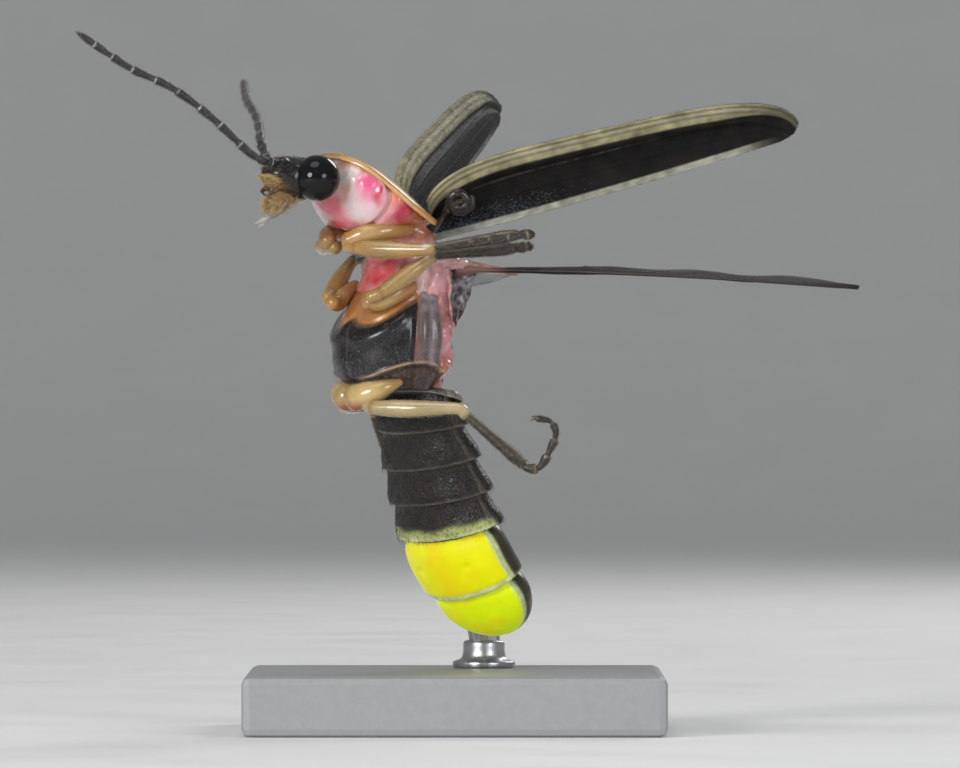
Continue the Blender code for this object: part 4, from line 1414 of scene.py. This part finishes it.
def make_legs():
    """Six legs: an amber thigh, a dark shin with two spurs and a dark foot with claws."""
    for name, lines in LEGS.items():
        thigh, shin, foot = ([Vector(point) for point in line] for line in lines)
        hind = name.startswith("hind")
        base = (0.42, 0.32, 0.16) if hind else (0.41, 0.245, 0.075)

        def paint_thigh(along, round_, point, base=base, hind=hind):
            colour = mottled(base, shaded(base, 0.75), point, 0.35, 0.6, 0.4)
            colour = mix(colour, (0.11, 0.07, 0.04), 0.85 * ease(0.93, 1.0, along))
            colour = mix(colour, (0.24, 0.10, 0.03), 0.7 * hump(0.17, 0.015, along))
            line = max(hump(0.30, 0.03, round_), hump(0.72, 0.03, round_))
            colour = mix(colour, (0.66, 0.54, 0.34), 0.45 * line * ease(0.2, 0.4, along))
            if hind:
                return mix(colour, (0.10, 0.085, 0.07), 0.8 * hump(0.02, 0.10, round_)
                           * ease(0.3, 0.6, along))
            # Fore and middle thighs: a whitish spot near the knee, painted highlight
            knee_highlight = hump(0.90, 0.03, along) * hump(0.5, 0.22, abs(2 * round_ - 1))
            return mix(colour, (0.66, 0.64, 0.58), 0.8 * knee_highlight)

        def paint_shin(along, round_, point):
            colour = mottled((0.020, 0.016, 0.013), (0.045, 0.034, 0.024), point, 0.5, 0.8, 0.2)
            edge = max(hump(0.25, 0.035, round_), hump(0.75, 0.035, round_))
            colour = mix(colour, (0.26, 0.21, 0.14), 0.7 * edge)
            return mix(colour, (0.34, 0.20, 0.08), max(0.6 * ease(0.06, 0.0, along),
                                                       ease(0.94, 1.0, along)))

        def paint_foot(along, round_, point):
            piece = (along * 5) % 1.0
            return mix((0.026, 0.021, 0.017), (0.22, 0.15, 0.075), 0.7 * hump(1.0, 0.12, piece))

        knee = shin[0].lerp(thigh[-1], 0.35)
        make_limb(name + "_thigh", thigh + [knee],
                  (0.17, 0.18, 0.215, 0.225, 0.20, 0.165, 0.15), paint_thigh, "limb",
                  ("leg_" + name + "_femur",), count=72, sides=28)
        ankle = shin[-1].lerp(foot[0], 0.5)
        make_limb(name + "_shin", [thigh[-1].lerp(shin[0], 0.7)] + shin + [ankle],
                  (0.10, 0.115, 0.125, 0.135, 0.145, 0.16, 0.12), paint_shin, "limb_dark",
                  ("leg_" + name + "_tibia",), count=72, sides=24)
        make_spurs(name, shin[-1], (ankle - shin[0]).normalized())
        make_foot(name, [ankle] + foot, paint_foot)


def make_spike(name, points, steps, radii, colour):
    """A small curved spike of a leg, from its thick end to its thin one."""
    path = smooth_path(points, steps)
    make_surface(name, tube_surface(path, taper(path, *radii), 8), lambda *_: colour, "limb")


def make_spurs(name, place, along):
    """Two short spurs at the end of a shin."""
    side = along.orthogonal().normalized()
    for way, label in ((1, "a"), (-1, "b")):
        start = place + side * (0.10 * way)
        make_spike(name + "_spur_" + label,
                   (start, start + along * 0.12 + side * (0.05 * way),
                    start + along * 0.22 + side * (0.06 * way)),
                   5, (0.026, 0.005), (0.12, 0.07, 0.03))


def make_foot(name, points, paint):
    """Five toe pieces, each widening to its end, and two claws."""
    count = 90
    path = pieced_path(points, 12, count)
    radii = []
    for index in range(count + 1):
        share = index / count
        piece = (share * 5) % 1.0 if share < 1 else 1.0
        radii.append(blend(0.125, 0.075, share) * (0.62 + 0.48 * ease(0.0, 0.85, piece)
                                                   - 0.25 * ease(0.92, 1.0, piece)))
    make_surface(name + "_foot", tube_surface(path, radii, 14), paint, "limb_dark",
                 ("leg_" + name + "_tarsus",))
    along = (path[-1] - path[-4]).normalized()
    side = along.orthogonal().normalized()
    start = path[-1] - along * 0.03
    for way, label in ((1, "a"), (-1, "b")):
        make_spike(name + "_claw_" + label,
                   (start, start + along * 0.10 + side * (0.06 * way),
                    start + along * 0.17 + side * (0.05 * way) - along.cross(side) * 0.07),
                   6, (0.028, 0.007), (0.10, 0.05, 0.02))


def make_hips():
    """The leg roots: rounded pieces between the body and each thigh."""
    shapes = {
        "fore": (((0.25, -1.20, 2.76), (-0.30, -1.50, 2.70), (-0.85, -1.60, 2.62),
                  (-1.28, -1.50, 2.46)), (0.16, 0.22, 0.235, 0.21)),
        "mid": (((0.30, -1.26, 1.34), (-0.15, -1.42, 1.12), (-0.52, -1.48, 0.94),
                 (-0.78, -1.52, 0.92)), (0.17, 0.225, 0.235, 0.20)),
        "hind": (((0.00, -1.30, -1.06), (-0.42, -1.38, -1.22), (-0.82, -1.24, -1.36),
                  (-1.10, -1.04, -1.44)), (0.10, 0.22, 0.31, 0.35)),
    }
    for name, (points, radii) in shapes.items():
        for side in (1, -1):
            own = [mirrored(Vector(point), side) for point in points]

            def paint(along, round_, point, name=name):
                hind = name == "hind"
                base = (0.46, 0.33, 0.12) if hind else (0.42, 0.22, 0.06)
                colour = mix(base, (0.34, 0.12, 0.035), 0.6 * ease(0.5, 0.0, along))
                # A paler tan band round each hip, past its middle: painted highlight
                colour = mix(colour, (0.60, 0.43, 0.20), 0.5 * hump(0.62, 0.15, along))
                low = 0.9 * ease(-1.50, -1.72, point.z) if hind else 0.0
                colour = mix(colour, (0.40, 0.10, 0.05), low)
                return mix(colour, (0.22, 0.08, 0.03), 0.4 * hump(0.93, 0.03, along))

            make_limb("hip_" + name + "_" + side_name(side), own, radii, paint, "limb",
                      (), count=40, sides=28)


# Hair

def make_hairs():
    """Every coat of short hairs, each a piece of its own."""
    quick = 1.0

    def grow(name, sources, count, *rest, **settings):
        grow_hair(name, sources, int(count * quick), *rest, **settings)

    def breast(along, round_, point):
        turn = degrees_round(round_)
        lower = ease(0.35, 0.8, along)
        plate = (0.30 + 0.6 * lower) * ease(112, 116, turn) * ease(0.0, -0.05, point.z
                                                                  - plate_edge(turn) + 0.1)
        return plate + ease(81, 84, turn) * ease(112, 109, turn)

    def below(along, round_, point):
        return blend(0.30, 1.0, ease(60, 90, degrees_round(round_)))

    grow("hair_belly", ["belly_shell"], 9000, 0.15, 0.0026, (0.075, 0.072, 0.070), "cuticle", 11,
         lift=0.16, wanted=below)
    grow("hair_chest", ["chest_shell"], 8000, 0.075, 0.0024, (0.26, 0.26, 0.28), "cuticle", 12,
         lift=0.30, wanted=breast)
    grow("hair_head", ["head_shell"], 700, 0.10, 0.0030, (0.20, 0.16, 0.11), "cuticle", 13,
         lift=0.5, wanted=lambda along, *_: ease(0.30, 0.60, along))
    grow("hair_mouth", ["mouth_lobe_left", "mouth_lobe_right"], 2400, 0.24, 0.0036,
         (0.60, 0.44, 0.20), "mouth", 14, lift=0.62, bend=0.3)
    grow("hair_lip", ["head_shell"], 500, 0.22, 0.0036, (0.60, 0.44, 0.20), "mouth", 24,
         lift=0.6, wanted=lambda along, round_, point: ease(0.62, 0.75, along)
         * ease(0.28, 0.36, min(round_, 1 - round_)))
    grow("hair_palps", ["palp_skin_left", "palp_skin_right", "inner_palp_left",
                        "inner_palp_right"], 1000, 0.08, 0.0030, (0.50, 0.48, 0.44), "mouth", 21,
         lift=0.5)
    grow("hair_antennae", ["antenna_skin_left", "antenna_skin_right"], 6000, 0.085, 0.0026,
         (0.26, 0.25, 0.24), "antenna", 15, lift=0.5)
    grow("hair_shins", [name + "_shin" for name in LEGS], 8400, 0.10, 0.0028,
         (0.24, 0.215, 0.17), "leg_dark", 16, lift=0.32)
    grow("hair_feet", [name + "_foot" for name in LEGS], 3900, 0.085, 0.0028,
         (0.25, 0.22, 0.17), "leg_dark", 17, lift=0.45)
    grow("hair_thighs", [name + "_thigh" for name in LEGS], 3000, 0.09, 0.0025,
         (0.58, 0.46, 0.28), "leg_tan", 18, lift=0.25)
    grow("hair_hips", ["hip_hind_left", "hip_hind_right", "hip_mid_left", "hip_mid_right",
                       "hip_fore_left", "hip_fore_right"], 1800, 0.08, 0.0025,
         (0.46, 0.37, 0.22), "leg_tan", 22, lift=0.35)
    for side in ("left", "right"):
        grow("hair_wing_case_" + side, ["elytron_plate_" + side], 12000, 0.10, 0.0024,
             (0.045, 0.044, 0.043), "elytron", 19, lift=0.30,
             wanted=lambda along, round_, point: 0.8 if round_ < 0.5 else 0.2)
        grow("hair_wing_root_" + side, ["elytron_plate_" + side], 4500, 0.14, 0.0026,
             (0.22, 0.28, 0.36), "elytron", 23, lift=0.16,
             wanted=lambda along, round_, point: ease(0.51, 0.54, round_) * ease(0.70, 0.60, round_)
             * ease(0.40, 0.08, along) ** 1.5)
    grow("hair_shield", ["shield_plate"], 3000, 0.07, 0.0024, (0.60, 0.48, 0.30), "shield", 20,
         lift=0.25, wanted=lambda along, round_, point: 1.0 if round_ < 0.5 else 0.3)


# Stand, room and camera

def dress_stand():
    """Give the stand's own solids their looks and close the rod's joints."""
    for node, name in (("stand_base", "plinth"), ("stand_rod", "steel")):
        item = bpy.data.objects[node]
        item.data.materials.clear()
        item.data.materials.append(materials[name])
    foot = Vector((2.10, 3.75, 0.0))
    levels = smooth_rows(((-8.31, 0.72), (-8.27, 0.78), (-8.16, 0.79), (-8.12, 0.74),
                          (-8.05, 0.58), (-7.90, 0.53), (-7.66, 0.52), (-7.60, 0.45)), 4)
    rings = [ring(foot + Vector((0, 0, up)), Vector((1, 0, 0)), Vector((0, 1, 0)),
                  (radius, radius), radius, 48) for up, radius in levels]
    make_surface("stand_collar", rings, lambda *_: (0.60, 0.60, 0.61), "steel")


def make_room():
    """A pale round room: flat floor, and a wall that curves up beyond the camera."""
    profile = [(150.0, 0.0), (ROOM_RADIUS, 0.0)]
    for step in range(1, 13):
        angle = step / 12 * tau / 4
        profile.append((ROOM_RADIUS + ROOM_CURVE * sin(angle), ROOM_CURVE * (1 - cos(angle))))
    profile.append((ROOM_RADIUS + ROOM_CURVE, ROOM_HEIGHT))
    turns = [tau * index / ROOM_SIDES for index in range(ROOM_SIDES)]
    verts = [(radius * cos(turn) * MM, radius * sin(turn) * MM, up * MM)
             for radius, up in profile for turn in turns]
    verts.append((0.0, 0.0, 0.0))
    pairs = [(index, (index + 1) % ROOM_SIDES) for index in range(ROOM_SIDES)]
    faces = [(row * ROOM_SIDES + index, (row + 1) * ROOM_SIDES + index,
              (row + 1) * ROOM_SIDES + after, row * ROOM_SIDES + after)
             for row in range(len(profile) - 1) for index, after in pairs]
    faces += [(len(verts) - 1, index, after) for index, after in pairs]
    mesh = bpy.data.meshes.new("room_floor")
    mesh.from_pydata(verts, [], faces)
    mesh.shade_smooth()
    room = bpy.data.objects.new("room_floor", mesh)
    bpy.context.scene.collection.objects.link(room)
    make_material("room", 0.70, grain=0.2, bump=0.01,
                  tones=((0.85, 0.85, 0.84), (0.87, 0.87, 0.86)))
    mesh.materials.append(materials["room"])


def add_light(name, place, size, power, colour=(1.0, 1.0, 1.0)):
    """A soft round light at a place in millimetres, aimed at the animal."""
    data = bpy.data.lights.new(name, "AREA")
    data.shape = "DISK"
    data.size = size * MM
    data.energy = power
    data.color = colour
    light = bpy.data.objects.new(name, data)
    light.location = Vector(place) * MM
    aim = (BODY_AT - Vector(place)).normalized()
    light.rotation_euler = aim.to_track_quat("-Z", "Y").to_euler()
    bpy.context.scene.collection.objects.link(light)


def make_lights():
    """Four soft lights round the animal and a pale even sky."""
    add_light("key", (-95.0, -128.0, 52.0), 62.0, 0.155)
    add_light("second", (92.0, -128.0, 40.0), 58.0, 0.065, (0.92, 0.95, 1.0))
    add_light("top", (-30.0, -60.0, 190.0), 120.0, 0.085)
    add_light("rim", (90.0, 150.0, 110.0), 80.0, 0.11)
    world = bpy.data.worlds.new("soft_world")
    world.use_nodes = True
    background = world.node_tree.nodes["Background"]
    background.inputs["Color"].default_value = (0.95, 0.97, 1.0, 1.0)
    background.inputs["Strength"].default_value = WORLD_STRENGTH
    bpy.context.scene.world = world


def place_camera():
    """The photograph's own view, level and in front."""
    data = bpy.data.cameras.new("camera")
    data.sensor_width = 36.0
    data.lens = 36.0 * VIEW_DISTANCE / VIEW_WIDTH
    data.clip_start = 0.005
    data.clip_end = 5.0
    camera = bpy.data.objects.new("camera", data)
    camera.location = Vector((VIEW_MIDDLE[0], BODY_AT.y - VIEW_DISTANCE, VIEW_MIDDLE[1])) * MM
    camera.rotation_euler = (radians(90.0), 0.0, 0.0)
    bpy.context.scene.collection.objects.link(camera)
    bpy.context.scene.camera = camera
    bpy.context.scene.view_settings.view_transform = "Standard"


def main():
    """The whole scene."""
    make_materials()
    make_head()
    make_antenna("left", ((-2.96, -2.54, 4.34), (-3.20, -2.76, 4.38), (-3.36, -2.90, 4.42),
                          (-3.72, -2.98, 4.64), (-4.63, -3.15, 5.48), (-5.60, -3.40, 6.20),
                          (-6.65, -3.65, 6.70), (-7.88, -3.95, 7.53)))
    make_antenna("right", ((-3.22, -2.10, 4.36), (-3.34, -2.08, 4.60), (-3.44, -2.00, 4.88),
                           (-3.48, -1.45, 5.16), (-3.60, -0.60, 5.60), (-3.85, 0.60, 6.02),
                           (-3.97, 2.10, 6.53)))
    make_shield()
    make_flesh()
    make_chest()
    make_wing_roots()
    make_belly()
    make_lanterns()
    for side in (1, -1):
        make_elytron(side)
        make_hindwing(side)
    make_legs()
    make_hips()
    make_hairs()
    dress_stand()
    make_room()
    make_lights()
    place_camera()
    bpy.context.view_layer.update()


main()
